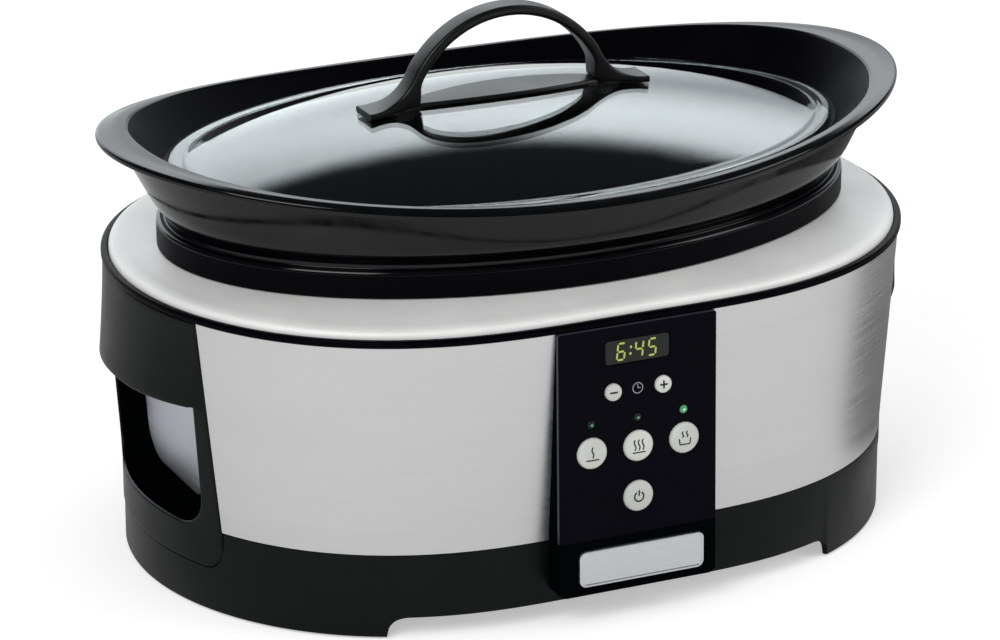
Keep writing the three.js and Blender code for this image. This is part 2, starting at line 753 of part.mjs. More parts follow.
const RIM_HALF_LENGTH = NECK_HALF_LENGTH + RIM_END_REACH;
const RIM_HALF_DEPTH = NECK_HALF_DEPTH + RIM_SIDE_REACH;
const LID_HALF_LENGTH = RIM_HALF_LENGTH - LID_END_INSET;
const LID_HALF_DEPTH = RIM_HALF_DEPTH - LID_SIDE_INSET;
const CROCK_SEAT = DECK_TOP + GAP;

// The shoulder stands on the deck; above it a groove, then the wall flares out to the rim.
function crockOutside() {
  const footLength = CROCK_HALF_LENGTH - CROCK_DRAFT;
  const footDepth = CROCK_HALF_DEPTH - CROCK_DRAFT;
  const shoulderTop = CROCK_SEAT + CROCK_SHOULDER_HEIGHT;
  const grooveTop = shoulderTop + CROCK_GROOVE_HEIGHT;
  const neck = (height, inset, rise) => {
    return ovalRing(NECK_HALF_LENGTH - inset, NECK_HALF_DEPTH - inset, height, rise);
  };
  const throatInset = CROCK_GROOVE_DEPTH - CROCK_THROAT_FLARE;
  return [
    ...footRound(footLength, footDepth, CROCK_BOTTOM, CROCK_CORNER, 0),
    ovalRing(CROCK_HALF_LENGTH, CROCK_HALF_DEPTH, CROCK_SEAT),
    neck(CROCK_SEAT, 0, 0),
    neck(shoulderTop - CROCK_SHOULDER_EDGE, 0, 0),
    neck(shoulderTop, CROCK_SHOULDER_BEVEL, 0),
    neck(shoulderTop, CROCK_GROOVE_DEPTH, 0),
    neck(grooveTop, CROCK_GROOVE_DEPTH, 0),
    neck(grooveTop + CROCK_THROAT_HEIGHT, throatInset, CROCK_THROAT_RISE),
  ];
}

// Section of the rim from its underside over its outer edge to its top: how far it lies in from
// the edge, as shares of the rim's thickness, and its height from the middle, as shares of half.
const RIM_SECTION = [
  [0.22, -1],
  [0, -0.25],
  [0.13, 0.55],
  [0.57, 1],
];

// The flared wall meets the rim's underside, and the rim's top falls a little into the mouth.
function crockRim() {
  const half = RIM_THICKNESS / 2;
  const flareLength = RIM_HALF_LENGTH - RIM_END_WIDTH * RIM_FLARE_SHARE;
  const flareDepth = RIM_HALF_DEPTH - RIM_SIDE_WIDTH * RIM_FLARE_SHARE;
  const mouthLength = RIM_HALF_LENGTH - RIM_END_WIDTH;
  const mouthDepth = RIM_HALF_DEPTH - RIM_SIDE_WIDTH;
  const mouth = (inset, height) => {
    const rise = RIM_RISE * ((mouthLength - inset) / RIM_HALF_LENGTH) ** 2;
    const level = RIM_HEIGHT + half + height;
    return ovalRing(mouthLength - inset, mouthDepth - inset, level, rise, RIM_MOUTH_POWER);
  };
  return [
    ovalRing(flareLength, flareDepth, RIM_HEIGHT - half, RIM_RISE * (flareLength / RIM_HALF_LENGTH) ** 2),
    ...RIM_SECTION.map(([inset, height]) => {
      const length = RIM_HALF_LENGTH - inset * RIM_THICKNESS;
      const depth = RIM_HALF_DEPTH - inset * RIM_THICKNESS;
      return ovalRing(length, depth, RIM_HEIGHT + half * height, RIM_RISE);
    }),
    mouth(0, RIM_MOUTH_DROP / 2),
    mouth(RIM_MOUTH_DROP, -RIM_MOUTH_DROP / 2),
  ];
}

// From the rim down to the ledge that carries the lid, then down the wall to the floor.
function crockInside() {
  const ledgeLength = LID_HALF_LENGTH + LID_CLEARANCE;
  const ledgeDepth = LID_HALF_DEPTH + LID_CLEARANCE;
  const footLength = CROCK_HALF_LENGTH - CROCK_DRAFT - CROCK_WALL;
  const footDepth = CROCK_HALF_DEPTH - CROCK_DRAFT - CROCK_WALL;
  const floor = CROCK_BOTTOM + CROCK_FLOOR;
  const ledge = (inset, height) => ovalRing(ledgeLength - inset, ledgeDepth - inset, height);
  return [
    ledge(0, LEDGE_HEIGHT),
    ledge(LEDGE_REST, LEDGE_HEIGHT),
    ledge(LEDGE_REST + LEDGE_DRAFT, LEDGE_HEIGHT - CROCK_WALL),
    ...footRound(footLength, footDepth, floor, CROCK_CORNER, 0).reverse(),
  ];
}

function crock() {
  return loft([...crockOutside(), ...crockRim(), ...crockInside()], false);
}

// ---------------------------------------------------------------------------
// Lid: glass, handle and the screws that hold it
// ---------------------------------------------------------------------------

const LID_SEAT = LEDGE_HEIGHT + GAP;
const DOME_HALF_LENGTH = LID_HALF_LENGTH - LID_FLANGE;
const DOME_HALF_DEPTH = LID_HALF_DEPTH - LID_FLANGE;
const DOME_EDGE = LID_SEAT + LID_EDGE - LID_DOME_SUNK;
const DOME_STEPS = [1, 0.93, 0.82, 0.66, 0.46, 0.24, 0.08];

function domeHeight(share) {
  return DOME_EDGE + LID_DOME * (1 - share ** 2);
}

function domeSlope(x) {
  return (2 * LID_DOME * x) / DOME_HALF_LENGTH ** 2;
}

function domeRing(share, lift) {
  return ovalRing(DOME_HALF_LENGTH * share, DOME_HALF_DEPTH * share, domeHeight(share) + lift);
}

// Everything under the top face of the dome, raised by a lift.
function domeBlock(lift) {
  const floor = ovalRing(DOME_HALF_LENGTH, DOME_HALF_DEPTH, DOME_EDGE - LID_DOME);
  return loft([floor, ...DOME_STEPS.map((share) => domeRing(share, lift))], false);
}

// Frame of a lid screw: on the underside of the glass, square to the dome.
function lidScrewSeat(side) {
  const seat = new THREE.Object3D();
  const x = side * LID_SCREW_X;
  seat.position.set(x, 0, domeHeight(LID_SCREW_X / DOME_HALF_LENGTH) - LID_GLASS);
  seat.rotation.y = domeSlope(x);
  seat.updateMatrix();
  return seat;
}

// Flat face for the washer on the curved underside.
function lidWasherSeat(side) {
  const seat = post(LID_WASHER_RADIUS + GAP, 0, 0, -LID_GLASS, 0);
  return seat.applyMatrix4(lidScrewSeat(side).matrix);
}

function lidScrewHole(side, top) {
  const hole = post(LID_SCREW_RADIUS + GAP, 0, 0, -LID_GLASS, top, SMALL_SIDES);
  return hole.applyMatrix4(lidScrewSeat(side).matrix);
}

function lidGlass() {
  const under = DOME_STEPS.filter((share) => share * DOME_HALF_DEPTH < LID_HALF_DEPTH - LID_UNDER_FLANGE);
  const flange = (inset, height) => {
    return ovalRing(LID_HALF_LENGTH - inset, LID_HALF_DEPTH - inset, LID_SEAT + height);
  };
  const rings = [
    ...under.reverse().map((share) => domeRing(share, -LID_GLASS)),
    flange(LID_UNDER_FLANGE, 0),
    flange(LID_EDGE_BEVEL, 0),
    flange(0, LID_EDGE / 2),
    flange(LID_EDGE_BEVEL, LID_EDGE),
    ...DOME_STEPS.map((share) => domeRing(share, 0)),
  ];
  const holes = SIDES.map((side) => lidScrewHole(side, 2 * LID_GLASS));
  return cut(loft(rings, false), ...holes, ...SIDES.map(lidWasherSeat));
}

// Side view of the grip: two feet that sweep up into one arch, with the hand opening cut out.
function gripOutline() {
  const foot = GRIP_FEET_LENGTH / 2;
  const footTop = domeHeight(foot / DOME_HALF_LENGTH) + GAP + GRIP_FOOT_HEIGHT;
  const outer = GRIP_RADIUS + GRIP_THICKNESS / 2;
  const inner = GRIP_RADIUS - GRIP_THICKNESS / 2;
  const centre = GRIP_TOP - outer;
  const legX = outer * Math.cos(GRIP_SPRING);
  const legZ = centre + outer * Math.sin(GRIP_SPRING);
  const bendX = legX + (foot - legX) * GRIP_SWEEP;
  const shape = new THREE.Shape();
  shape.moveTo(-foot, DOME_EDGE);
  shape.lineTo(foot, DOME_EDGE);
  shape.lineTo(foot, footTop);
  shape.quadraticCurveTo(bendX, footTop + GAP, legX, legZ);
  shape.absarc(0, centre, outer, GRIP_SPRING, Math.PI - GRIP_SPRING);
  shape.quadraticCurveTo(-bendX, footTop + GAP, -foot, footTop);
  const span = GRIP_SPAN / 2;
  const spring = Math.acos(span / inner);
  const sill = domeHeight(span / DOME_HALF_LENGTH) + GAP + GRIP_PLATE_THICKNESS;
  const opening = new THREE.Path();
  opening.moveTo(span, sill);
  opening.lineTo(-span, sill);
  opening.absarc(0, centre, inner, Math.PI - spring, spring, true);
  shape.holes.push(opening);
  return shape;
}

function gripArch() {
  const settings = {
    depth: GRIP_WIDTH - 2 * GRIP_BEVEL,
    bevelThickness: GRIP_BEVEL,
    bevelSize: GRIP_BEVEL,
    bevelOffset: -GRIP_BEVEL,
    bevelSegments: GRIP_BEVEL_STEPS,
    curveSegments: GRIP_CURVE_STEPS,
  };
  const arch = new THREE.ExtrudeGeometry(gripOutline(), settings);
  return arch.rotateX(Math.PI / 2).translate(0, GRIP_WIDTH / 2 - GRIP_BEVEL, 0);
}

// Lens-shaped plate between the feet, as thick as its named thickness above the dome.
function gripPlate() {
  const halfSpan = GRIP_SPAN / 2 + GRIP_PLATE_OVERLAP;
  const end = GRIP_WIDTH / 2 - GRIP_BEVEL;
  const belly = GRIP_PLATE_WIDTH - end;
  const lens = new THREE.Shape();
  lens.moveTo(-halfSpan, -end);
  lens.quadraticCurveTo(0, -belly, halfSpan, -end);
  lens.lineTo(halfSpan, end);
  lens.quadraticCurveTo(0, belly, -halfSpan, end);
  const settings = { depth: LID_DOME * 2, bevelEnabled: false, curveSegments: GRIP_CURVE_STEPS };
  const prism = new THREE.ExtrudeGeometry(lens, settings).translate(0, 0, DOME_EDGE);
  return overlap(prism, domeBlock(GAP + GRIP_PLATE_THICKNESS));
}

function lidHandle() {
  const screwHoles = SIDES.map((side) => lidScrewHole(side, LID_GLASS + LID_SCREW_GRIP + 2 * GAP));
  return cut(join(gripArch(), gripPlate()), domeBlock(GAP), ...screwHoles);
}

function lidScrew() {
  const headTop = -(LID_WASHER_THICKNESS + 2 * GAP);
  const head = post(LID_SCREW_HEAD_RADIUS, 0, 0, headTop - LID_SCREW_HEAD_HEIGHT, headTop);
  const shankTop = LID_GLASS + LID_SCREW_GRIP;
  const shank = post(LID_SCREW_RADIUS, 0, 0, headTop - JOIN_DEPTH, shankTop, SMALL_SIDES);
  return join(head, shank);
}

function lidWasher() {
  const washer = post(LID_WASHER_RADIUS, 0, 0, -(LID_WASHER_THICKNESS + GAP), -GAP);
  return cut(washer, post(LID_SCREW_RADIUS + GAP, 0, 0, -LID_GLASS, LID_GLASS, SMALL_SIDES));
}

// ---------------------------------------------------------------------------
// End handles
// ---------------------------------------------------------------------------

const POCKET_MOUTH = BODY_LENGTH / 2 - WALL_LEAN;
const POCKET_BACK = POCKET_MOUTH - POCKET_DEPTH;
const LIP_SHARES = [0.72, 0.45, 0.2, 0];

// How far the lip reaches out: most at mid width, nothing at the handle's edges.
function lipOffset(share, inset) {
  return (point) => {
    const across = Math.min(1, Math.abs(point.y) / (HANDLE_WIDTH / 2 - HANDLE_NARROWING));
    return HANDLE_PROUD - inset + LIP_REACH * share * (1 - across ** LIP_POWER);
  };
}

function handleLip() {
  const drop = WALL_TOP - LIP_BOTTOM;
  const face = (inset, lowest) => [
    housingRing(lowest, lipOffset(1, inset)),
    ...LIP_SHARES.map((share) => housingRing(WALL_TOP - drop * share, lipOffset(share, inset))),
  ];
  const underside = housingRing(LIP_BOTTOM, lipOffset(1, LIP_WALL / 2));
  return loft([...face(0, LIP_BOTTOM + LIP_ROUND), ...face(LIP_WALL, LIP_BOTTOM).reverse(), underside], true);
}

// Ring across the pocket, leaning with the wall; foot is its distance out where the wall starts.
function pocketRing(side, foot, width, rise, grow) {
  const halfWidth = width / 2 + grow;
  const bottom = POCKET_BOTTOM + rise - grow;
  const top = POCKET_TOP + grow;
  const corner = POCKET_CORNER + grow;
  const outline = roundedRectangle(halfWidth, bottom, top, corner, POCKET_CORNER / 3 + grow);
  const slope = WALL_LEAN / (WALL_TOP - BASE_TOP);
  return outline.getPoints(CURVE_STEPS).map((point) => {
    return new THREE.Vector3(side * (foot + slope * (point.y - BASE_TOP)), point.x, point.y);
  });
}

// Tapering pocket from outside the wall to its back; grow adds its wall all round.
function pocketBlock(side, grow, back) {
  const rings = [
    pocketRing(side, back, POCKET_BACK_WIDTH, POCKET_BACK_RISE, grow),
    pocketRing(side, POCKET_MOUTH, POCKET_WIDTH, 0, grow),
    pocketRing(side, POCKET_MOUTH + 2 * LIP_REACH, POCKET_WIDTH, 0, grow),
  ];
  return loft(side > 0 ? rings : rings.reverse(), false);
}

function fingerOpening(side) {
  const top = LIP_BOTTOM + LIP_ROOT + CUT_PAST;
  const shape = roundedRectangle(POCKET_WIDTH / 2, POCKET_BOTTOM, top, POCKET_CORNER, 0);
  return alongX(shape, side > 0 ? POCKET_BACK : -BODY_LENGTH, side > 0 ? BODY_LENGTH : -POCKET_BACK);
}

function endHandle(side) {
  const inner = HANDLE_PROUD - HANDLE_WALL;
  const plate = housingBand(HANDLE_BOTTOM, LIP_BOTTOM + LIP_ROOT, inner, HANDLE_PROUD);
  const opened = cut(plate, fingerOpening(side));
  const inside = housingBlock(HANDLE_BOTTOM, WALL_TOP, HANDLE_PROUD);
  const pocket = cut(
    overlap(pocketBlock(side, POCKET_WALL, POCKET_BACK), inside),
    pocketBlock(side, 0, POCKET_BACK - CUT_PAST),
  );
  const shell = overlap(join(opened, handleLip()), handleZone(side, 0));
  const ringTongue = housingBand(WALL_TOP - RING_TONGUE - GAP, RING_TOP, -2 * RING_INSET, -SHEET);
  return cut(join(shell, pocket), ringTongue);
}

function pocketPlate(side) {
  const outer = POCKET_BACK - GAP;
  const rings = [outer - POCKET_PLATE, outer].map((foot) => {
    return pocketRing(side, foot, POCKET_BACK_WIDTH, POCKET_BACK_RISE, POCKET_WALL);
  });
  return loft(side > 0 ? rings : rings.reverse(), false);
}

// ---------------------------------------------------------------------------
// Control panel, drawn in its own frame: +X across, +Z up its face, +Y into the housing
// ---------------------------------------------------------------------------

const PANEL_HALF_WIDTH = PANEL_WIDTH / 2;
const BUTTONS = [
  ['button_low', -BUTTON_SPREAD, COOK_ROW, LARGE_BUTTON_RADIUS],
  ['button_high', 0, COOK_ROW, LARGE_BUTTON_RADIUS],
  ['button_warm', BUTTON_SPREAD, COOK_ROW, LARGE_BUTTON_RADIUS],
  ['button_power', 0, POWER_ROW, LARGE_BUTTON_RADIUS],
  ['button_minus', -TIMER_SPREAD, TIMER_ROW, SMALL_BUTTON_RADIUS],
  ['button_plus', TIMER_SPREAD, TIMER_ROW, SMALL_BUTTON_RADIUS],
];
const LENSES = [
  ['lens_low', -BUTTON_SPREAD],
  ['lens_high', 0],
  ['lens_warm', BUTTON_SPREAD],
];
const SWITCH_FACE = BOARD_DEPTH - SWITCH_HEIGHT;
const STEM_END = SWITCH_FACE - BUTTON_TRAVEL - GAP / 3;

function panelFrame() {
  const frame = new THREE.Group();
  frame.position.set(0, -(BODY_DEPTH / 2 + PANEL_PROUD), 0);
  frame.rotation.x = -PANEL_LEAN;
  frame.updateMatrix();
  return frame;
}

function panelRectangle(width, height, corner, centre) {
  return roundedRectangle(width / 2, centre - height / 2, centre + height / 2, corner, corner);
}

// Peg along Y, for holes and pins in the panel.
function panelPin(radius, x, z, near, far, sides = ROUND_SIDES) {
  const pin = new THREE.CylinderGeometry(radius, radius, far - near, sides);
  return pin.translate(x, (near + far) / 2, z);
}

function panelHousing() {
  const outline = roundedRectangle(PANEL_HALF_WIDTH, PANEL_BOTTOM, PANEL_TOP, PANEL_CORNER, 0);
  const depth = 3 * WALL_LEAN;
  const side = PANEL_HALF_WIDTH - PANEL_WALL;
  const top = PANEL_TOP - PANEL_WALL;
  const hollow = box(-side, side, PANEL_WALL, depth + CUT_PAST, PANEL_BOTTOM + PANEL_WALL, top);
  const aperture = box(-side, side, 0, 2 * PANEL_WALL, FASCIA_BOTTOM + PANEL_WALL, top);
  const seatDepth = FASCIA_THICKNESS + GAP;
  const fasciaSeat = box(-PANEL_WIDTH, PANEL_WIDTH, -CUT_PAST, seatDepth, FASCIA_BOTTOM - GAP, 2 * PANEL_TOP);
  const badge = panelRectangle(BADGE_WIDTH + 2 * GAP, BADGE_HEIGHT + 2 * GAP, BADGE_CORNER, BADGE_CENTRE);
  const badgeSeat = alongY(badge, -CUT_PAST, BADGE_RECESS + GAP).translate(BADGE_OFFSET, 0, 0);
  const walls = housingBlock(0, WALL_TOP + RING_TONGUE, GAP).applyMatrix4(panelFrame().matrix.invert());
  return cut(alongY(outline, 0, depth), hollow, aperture, fasciaSeat, badgeSeat, walls);
}

function fasciaPosts(radius, near, far) {
  const reachX = BOARD_WIDTH / 2 - FASCIA_POST_RADIUS - FASCIA_POST_INSET;
  const inset = FASCIA_POST_RADIUS + FASCIA_POST_INSET;
  const rows = [BOARD_BOTTOM + inset, BOARD_TOP - inset];
  return SIDES.flatMap((side) => {
    return rows.map((row) => panelPin(radius, side * reachX, row, near, far, SMALL_SIDES));
  });
}

function panelFascia() {
  const height = PANEL_TOP - FASCIA_BOTTOM;
  const outline = panelRectangle(PANEL_WIDTH, height, FASCIA_CORNER, FASCIA_BOTTOM + height / 2);
  const posts = fasciaPosts(FASCIA_POST_RADIUS, FASCIA_THICKNESS - JOIN_DEPTH, BOARD_DEPTH - GAP);
  const body = join(alongY(outline, 0, FASCIA_THICKNESS), ...posts);
  const past = FASCIA_THICKNESS + CUT_PAST;
  const hole = panelRectangle(WINDOW_WIDTH + 2 * GAP, WINDOW_HEIGHT + 2 * GAP, WINDOW_CORNER, WINDOW_CENTRE);
  const buttonHoles = BUTTONS.map(([, x, z, radius]) => panelPin(radius + GAP, x, z, -CUT_PAST, past));
  const lensHoles = LENSES.map(([, x]) => {
    return panelPin(LENS_RADIUS + GAP, x, LENS_ROW, -CUT_PAST, past, SMALL_SIDES);
  });
  return cut(body, alongY(hole, -CUT_PAST, past), ...buttonHoles, ...lensHoles);
}

function displayWindow() {
  const shape = panelRectangle(WINDOW_WIDTH, WINDOW_HEIGHT, WINDOW_CORNER, WINDOW_CENTRE);
  return alongY(shape, WINDOW_SUNK, WINDOW_SUNK + WINDOW_THICKNESS);
}

function displayModule() {
  const near = WINDOW_SUNK + WINDOW_THICKNESS + GAP;
  const halfWidth = WINDOW_WIDTH / 2 - DISPLAY_INSET;
  const bottom = WINDOW_CENTRE - WINDOW_HEIGHT / 2;
  return box(-halfWidth, halfWidth, near, near + DISPLAY_DEPTH, bottom, bottom + WINDOW_HEIGHT);
}

function controlBoard() {
  const halfWidth = BOARD_WIDTH / 2;
  const back = BOARD_DEPTH + BOARD_THICKNESS;
  const board = box(-halfWidth, halfWidth, BOARD_DEPTH, back, BOARD_BOTTOM, BOARD_TOP);
  const switches = BUTTONS.map(([, x, z]) => {
    return panelPin(BUTTON_STEM_RADIUS, x, z, SWITCH_FACE, BOARD_DEPTH + JOIN_DEPTH, SMALL_SIDES);
  });
  return join(board, ...switches);
}

// Domed cap, a flange that stops it behind the fascia, and a stem that works the switch.
function button(radius) {
  const front = -(BUTTON_PROUD + BUTTON_CROWN);
  const flangeFace = FASCIA_THICKNESS + GAP;
  const flangeBack = flangeFace + BUTTON_FLANGE_THICKNESS;
  return turned([
    [0, front],
    [radius / 2, front + BUTTON_CROWN / 4],
    [radius - BUTTON_EDGE, -BUTTON_PROUD],
    [radius, BUTTON_EDGE / 2 - BUTTON_PROUD],
    [radius, flangeFace],
    [radius + BUTTON_FLANGE, flangeFace],
    [radius + BUTTON_FLANGE, flangeBack],
    [BUTTON_STEM_RADIUS, flangeBack],
    [BUTTON_STEM_RADIUS, STEM_END],
    [0, STEM_END],
  ]);
}

function lens() {
  const tail = BOARD_DEPTH - GAP;
  return turned([
    [0, -LENS_CROWN],
    [LENS_RADIUS * 0.7, -LENS_CROWN / 2],
    [LENS_RADIUS, 0],
    [LENS_RADIUS, tail],
    [0, tail],
  ], SMALL_SIDES);
}

function badgePlate() {
  const shape = panelRectangle(BADGE_WIDTH, BADGE_HEIGHT, BADGE_CORNER, BADGE_CENTRE);
  return alongY(shape, BADGE_RECESS - BADGE_THICKNESS, BADGE_RECESS).translate(BADGE_OFFSET, 0, 0);
}

// ---------------------------------------------------------------------------
// Wiring inside the base
// ---------------------------------------------------------------------------

function powerBoard() {
  const x = POWER_BOARD_LENGTH / 2;
  const y = POWER_BOARD_DEPTH / 2;
  const height = INSIDE_FLOOR + POWER_BOARD_LIFT;
  const board = box(-x, x, -y, y, height, height + BOARD_THICKNESS);
  const relay = box(-x / 2, 0, -y / 2, y / 4, height, height + RELAY_HEIGHT);
  return join(board, relay).translate(POWER_BOARD_X, POWER_BOARD_Y, 0);
}

function terminalBlock() {
  const x = TERMINAL_LENGTH / 2;
  const y = TERMINAL_DEPTH / 2;
  const floor = INSIDE_FLOOR + GAP;
  const centre = BODY_DEPTH / 2 - TERMINAL_FROM_SIDE;
  return box(-x, x, centre - y, centre + y, floor, floor + TERMINAL_HEIGHT);
}

// Bushing that the cord leaves through: a neck in the skirt between two flanges.
function cordGland() {
  const inside = BASE_INSIDE - GAP;
  return turned([
    [GLAND_BORE, inside - GLAND_FLANGE],
    [GLAND_FLANGE_RADIUS, inside - GLAND_FLANGE],
    [GLAND_FLANGE_RADIUS, inside],
    [GLAND_NECK, inside],
    [GLAND_NECK, GAP],
    [GLAND_FLANGE_RADIUS, GAP],
    [GLAND_FLANGE_RADIUS, GAP + GLAND_FLANGE],
    [GLAND_BORE, GAP + GLAND_FLANGE],
    [GLAND_BORE, inside - GLAND_FLANGE],
  ]);
}

// ---------------------------------------------------------------------------
// Assembly
// ---------------------------------------------------------------------------

function add(group, name, geometry, surface, x = 0, y = 0, z = 0) {
  const mesh = new THREE.Mesh(geometry, surface);
  mesh.name = name;
  mesh.position.set(x, y, z);
  group.add(mesh);
  return mesh;
}

function sideName(side) {
  return side < 0 ? 'left' : 'right';
}

function buildBase() {
  const base = new THREE.Group();
  add(base, 'base_skirt', baseSkirt(), blackPlastic());
  add(base, 'floor_plate', floorPlate(), zincSteel());
  footSeats().forEach(([x, y], i) => add(base, `foot_pad_${i + 1}`, footPad(), rubber(), x, y));
  baseScrewSeats().forEach(([x, y], i) => add(base, `base_screw_${i + 1}`, baseScrew(), zincSteel(), x, y));
  add(base, 'steel_wall_front', steelWall(-1), brushedSteel());
  add(base, 'steel_wall_rear', steelWall(1), brushedSteel());
  add(base, 'trim_ring', trimRing(), blackPlastic());
  add(base, 'deck_plate', deckPlate(), brushedSteel());
  add(base, 'heating_well', heatingWell(), aluminium());
  add(base, 'heater_band', heaterBand(), aluminium());
  add(base, 'heat_sensor', heatSensor(), zincSteel());
  add(base, 'tie_bolt', tieBolt(), zincSteel());
  for (const side of SIDES) {
    add(base, `end_handle_${sideName(side)}`, endHandle(side), blackPlastic());
    add(base, `pocket_plate_${sideName(side)}`, pocketPlate(side), brushedSteel());
  }
  add(base, 'power_board', powerBoard(), boardGreen());
  add(base, 'terminal_block', terminalBlock(), blackPlastic());
  add(base, 'cord_gland', cordGland(), rubber(), 0, BASE_HALF_DEPTH, GLAND_HEIGHT);
  return base;
}

function buildPanel() {
  const panel = panelFrame();
  add(panel, 'panel_housing', panelHousing(), blackPlastic());
  add(panel, 'panel_fascia', panelFascia(), glossBlack());
  add(panel, 'display_window', displayWindow(), glossBlack());
  add(panel, 'display_module', displayModule(), blackPlastic());
  add(panel, 'control_board', controlBoard(), boardGreen());
  add(panel, 'badge_plate', badgePlate(), aluminium());
  for (const [name, x, z, radius] of BUTTONS) add(panel, name, button(radius), buttonGrey(), x, 0, z);
  for (const [name, x] of LENSES) add(panel, name, lens(), lensGreen(), x, 0, LENS_ROW);
  return panel;
}

function buildLid() {
  const lid = new THREE.Group();
  add(lid, 'lid_glass', lidGlass(), glass());
  add(lid, 'lid_handle', lidHandle(), blackPlastic());
  for (const side of SIDES) {
    const seat = lidScrewSeat(side);
    const fastening = new THREE.Group();
    fastening.position.copy(seat.position);
    fastening.rotation.copy(seat.rotation);
    add(fastening, `lid_screw_${sideName(side)}`, lidScrew(), zincSteel());
    add(fastening, `lid_washer_${sideName(side)}`, lidWasher(), rubber());
    lid.add(fastening);
  }
  return lid;
}

const cooker = new THREE.Group();
cooker.add(buildBase(), buildPanel(), buildLid());
add(cooker, 'crock', crock(), stoneware());

export default cooker;
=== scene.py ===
"""Looks of an oval programmable slow cooker with a lift-out stoneware crock and a domed glass lid.

Everything is in metres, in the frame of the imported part: +Z up, the control panel faces -Y.
"""

import math

import bmesh
import bpy
import numpy as np
from bpy.props import FloatProperty, FloatVectorProperty, IntProperty, PointerProperty
from mathutils import Matrix, Vector


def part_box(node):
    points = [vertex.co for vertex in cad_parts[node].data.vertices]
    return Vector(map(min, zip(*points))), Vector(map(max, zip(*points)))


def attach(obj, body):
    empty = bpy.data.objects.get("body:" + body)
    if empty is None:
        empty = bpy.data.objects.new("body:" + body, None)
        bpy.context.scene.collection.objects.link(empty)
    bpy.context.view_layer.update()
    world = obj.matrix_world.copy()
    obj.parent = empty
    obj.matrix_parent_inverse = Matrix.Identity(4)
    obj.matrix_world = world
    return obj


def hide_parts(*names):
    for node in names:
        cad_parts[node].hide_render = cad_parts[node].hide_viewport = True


bl_info = {
    "name": "Slow cooker looks",
    "version": (1, 0, 0),
    "blender": (4, 5, 0),
    "location": "3D View > Sidebar > Slow cooker",
    "description": "Builds the finished surfaces of an oval slow cooker over its solid parts",
    "category": "Object",
}

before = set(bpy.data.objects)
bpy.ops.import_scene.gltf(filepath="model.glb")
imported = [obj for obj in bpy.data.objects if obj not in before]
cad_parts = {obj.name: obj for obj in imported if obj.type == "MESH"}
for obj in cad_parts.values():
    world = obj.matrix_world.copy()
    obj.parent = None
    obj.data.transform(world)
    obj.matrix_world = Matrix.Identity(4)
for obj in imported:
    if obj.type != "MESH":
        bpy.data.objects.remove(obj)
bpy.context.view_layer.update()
MM = 0.001

# ---------------------------------------------------------------------------
# Places and sizes: the boxes of the solid parts give the places
# ---------------------------------------------------------------------------

RING_LOW, RING_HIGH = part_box("trim_ring")
WALL_LOW, WALL_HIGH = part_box("steel_wall_front")
SKIRT_LOW, SKIRT_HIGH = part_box("base_skirt")
CROCK_LOW, CROCK_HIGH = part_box("crock")
LID_LOW, LID_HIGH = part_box("lid_glass")
HANDLE_LOW, HANDLE_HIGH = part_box("end_handle_right")
PAD_LOW, PAD_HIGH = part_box("foot_pad_1")
GRIP_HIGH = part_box("lid_handle")[1]

# Room between two pieces that touch.
GAP = 0.3 * MM

# Housing: its outline at the top of the walls, how far it leans in toward the base, and how far
# its four shoulders are pushed out.
SOLID_RING_REACH = 2 * MM
HALF_LENGTH = RING_HIGH.x - SOLID_RING_REACH
HALF_DEPTH = RING_HIGH.y - SOLID_RING_REACH
LEAN = HALF_LENGTH - SKIRT_HIGH.x
SHOULDER = 3 * MM
WALL_BOTTOM = WALL_LOW.z
WALL_TOP = WALL_HIGH.z
SHEET = 0.8 * MM

# The front wall is open behind the panel, by this much less than the panel's outline.
OPENING_SIDE = 6 * MM
OPENING_BOTTOM = 4 * MM
OPENING_TOP = 8 * MM

# Trim ring: how far it reaches out over the walls and in from them.
RING_REACH = 1.3 * MM
RING_INSET = 2.4 * MM
RING_TOP = RING_HIGH.z

# Deck: its edge turns down by the hem, its shoulder stands over the ring, its face rises to the
# flat collar round the hole.
DECK_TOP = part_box("deck_plate")[1].z
DECK_THICKNESS = 1 * MM
DECK_HEM = 4.7 * MM
DECK_SHOULDER = 4.6 * MM
DECK_SHOULDER_WIDTH = 8 * MM
DECK_COLLAR = 0.8

# Skirt under the walls: an arch along the front and the back leaves four feet.
SKIRT_BOTTOM = SKIRT_LOW.z
SKIRT_WALL = 3.3 * MM
SKIRT_EDGE = 1.1 * MM
SKIRT_TONGUE = 7 * MM
ARCH_HALF = 124 * MM
ARCH_END = 11 * MM
ARCH_HEIGHT = 11 * MM

# Rubber feet: a chamfer round the top, and a recess for the screw below.
PAD_EDGE = 0.8 * MM
PAD_SOCKET_RADIUS = 2.6 * MM
PAD_SOCKET_DEPTH = 1.2 * MM

# End handle: its outline narrows upward, and a lip flares out over the finger pocket.
HANDLE_HALF = HANDLE_HIGH.y + 0.4 * MM
HANDLE_TOP_HALF = HANDLE_HALF - 4.5 * MM
HANDLE_BOTTOM = HANDLE_LOW.z
HANDLE_CORNER = 12 * MM
HANDLE_PROUD = 0.6 * MM
HANDLE_WALL = 3.2 * MM
LIP_BOTTOM = 110 * MM
LIP_REACH = 9 * MM
LIP_WALL = 3.9 * MM
MOUTH_ROUNDING = 1.3 * MM
POCKET_HALF = 56.25 * MM
POCKET_BACK_HALF = 40 * MM
POCKET_DEPTH = 20 * MM
POCKET_BOTTOM = 43.5 * MM
POCKET_BACK_BOTTOM = 49.5 * MM
POCKET_TOP = 134 * MM
POCKET_CORNER = 18 * MM
POCKET_WALL = 2.2 * MM
# Faces deeper than this behind the housing's surface get the pocket's painted shade.
POCKET_SHADE_DEPTH = 1 * MM

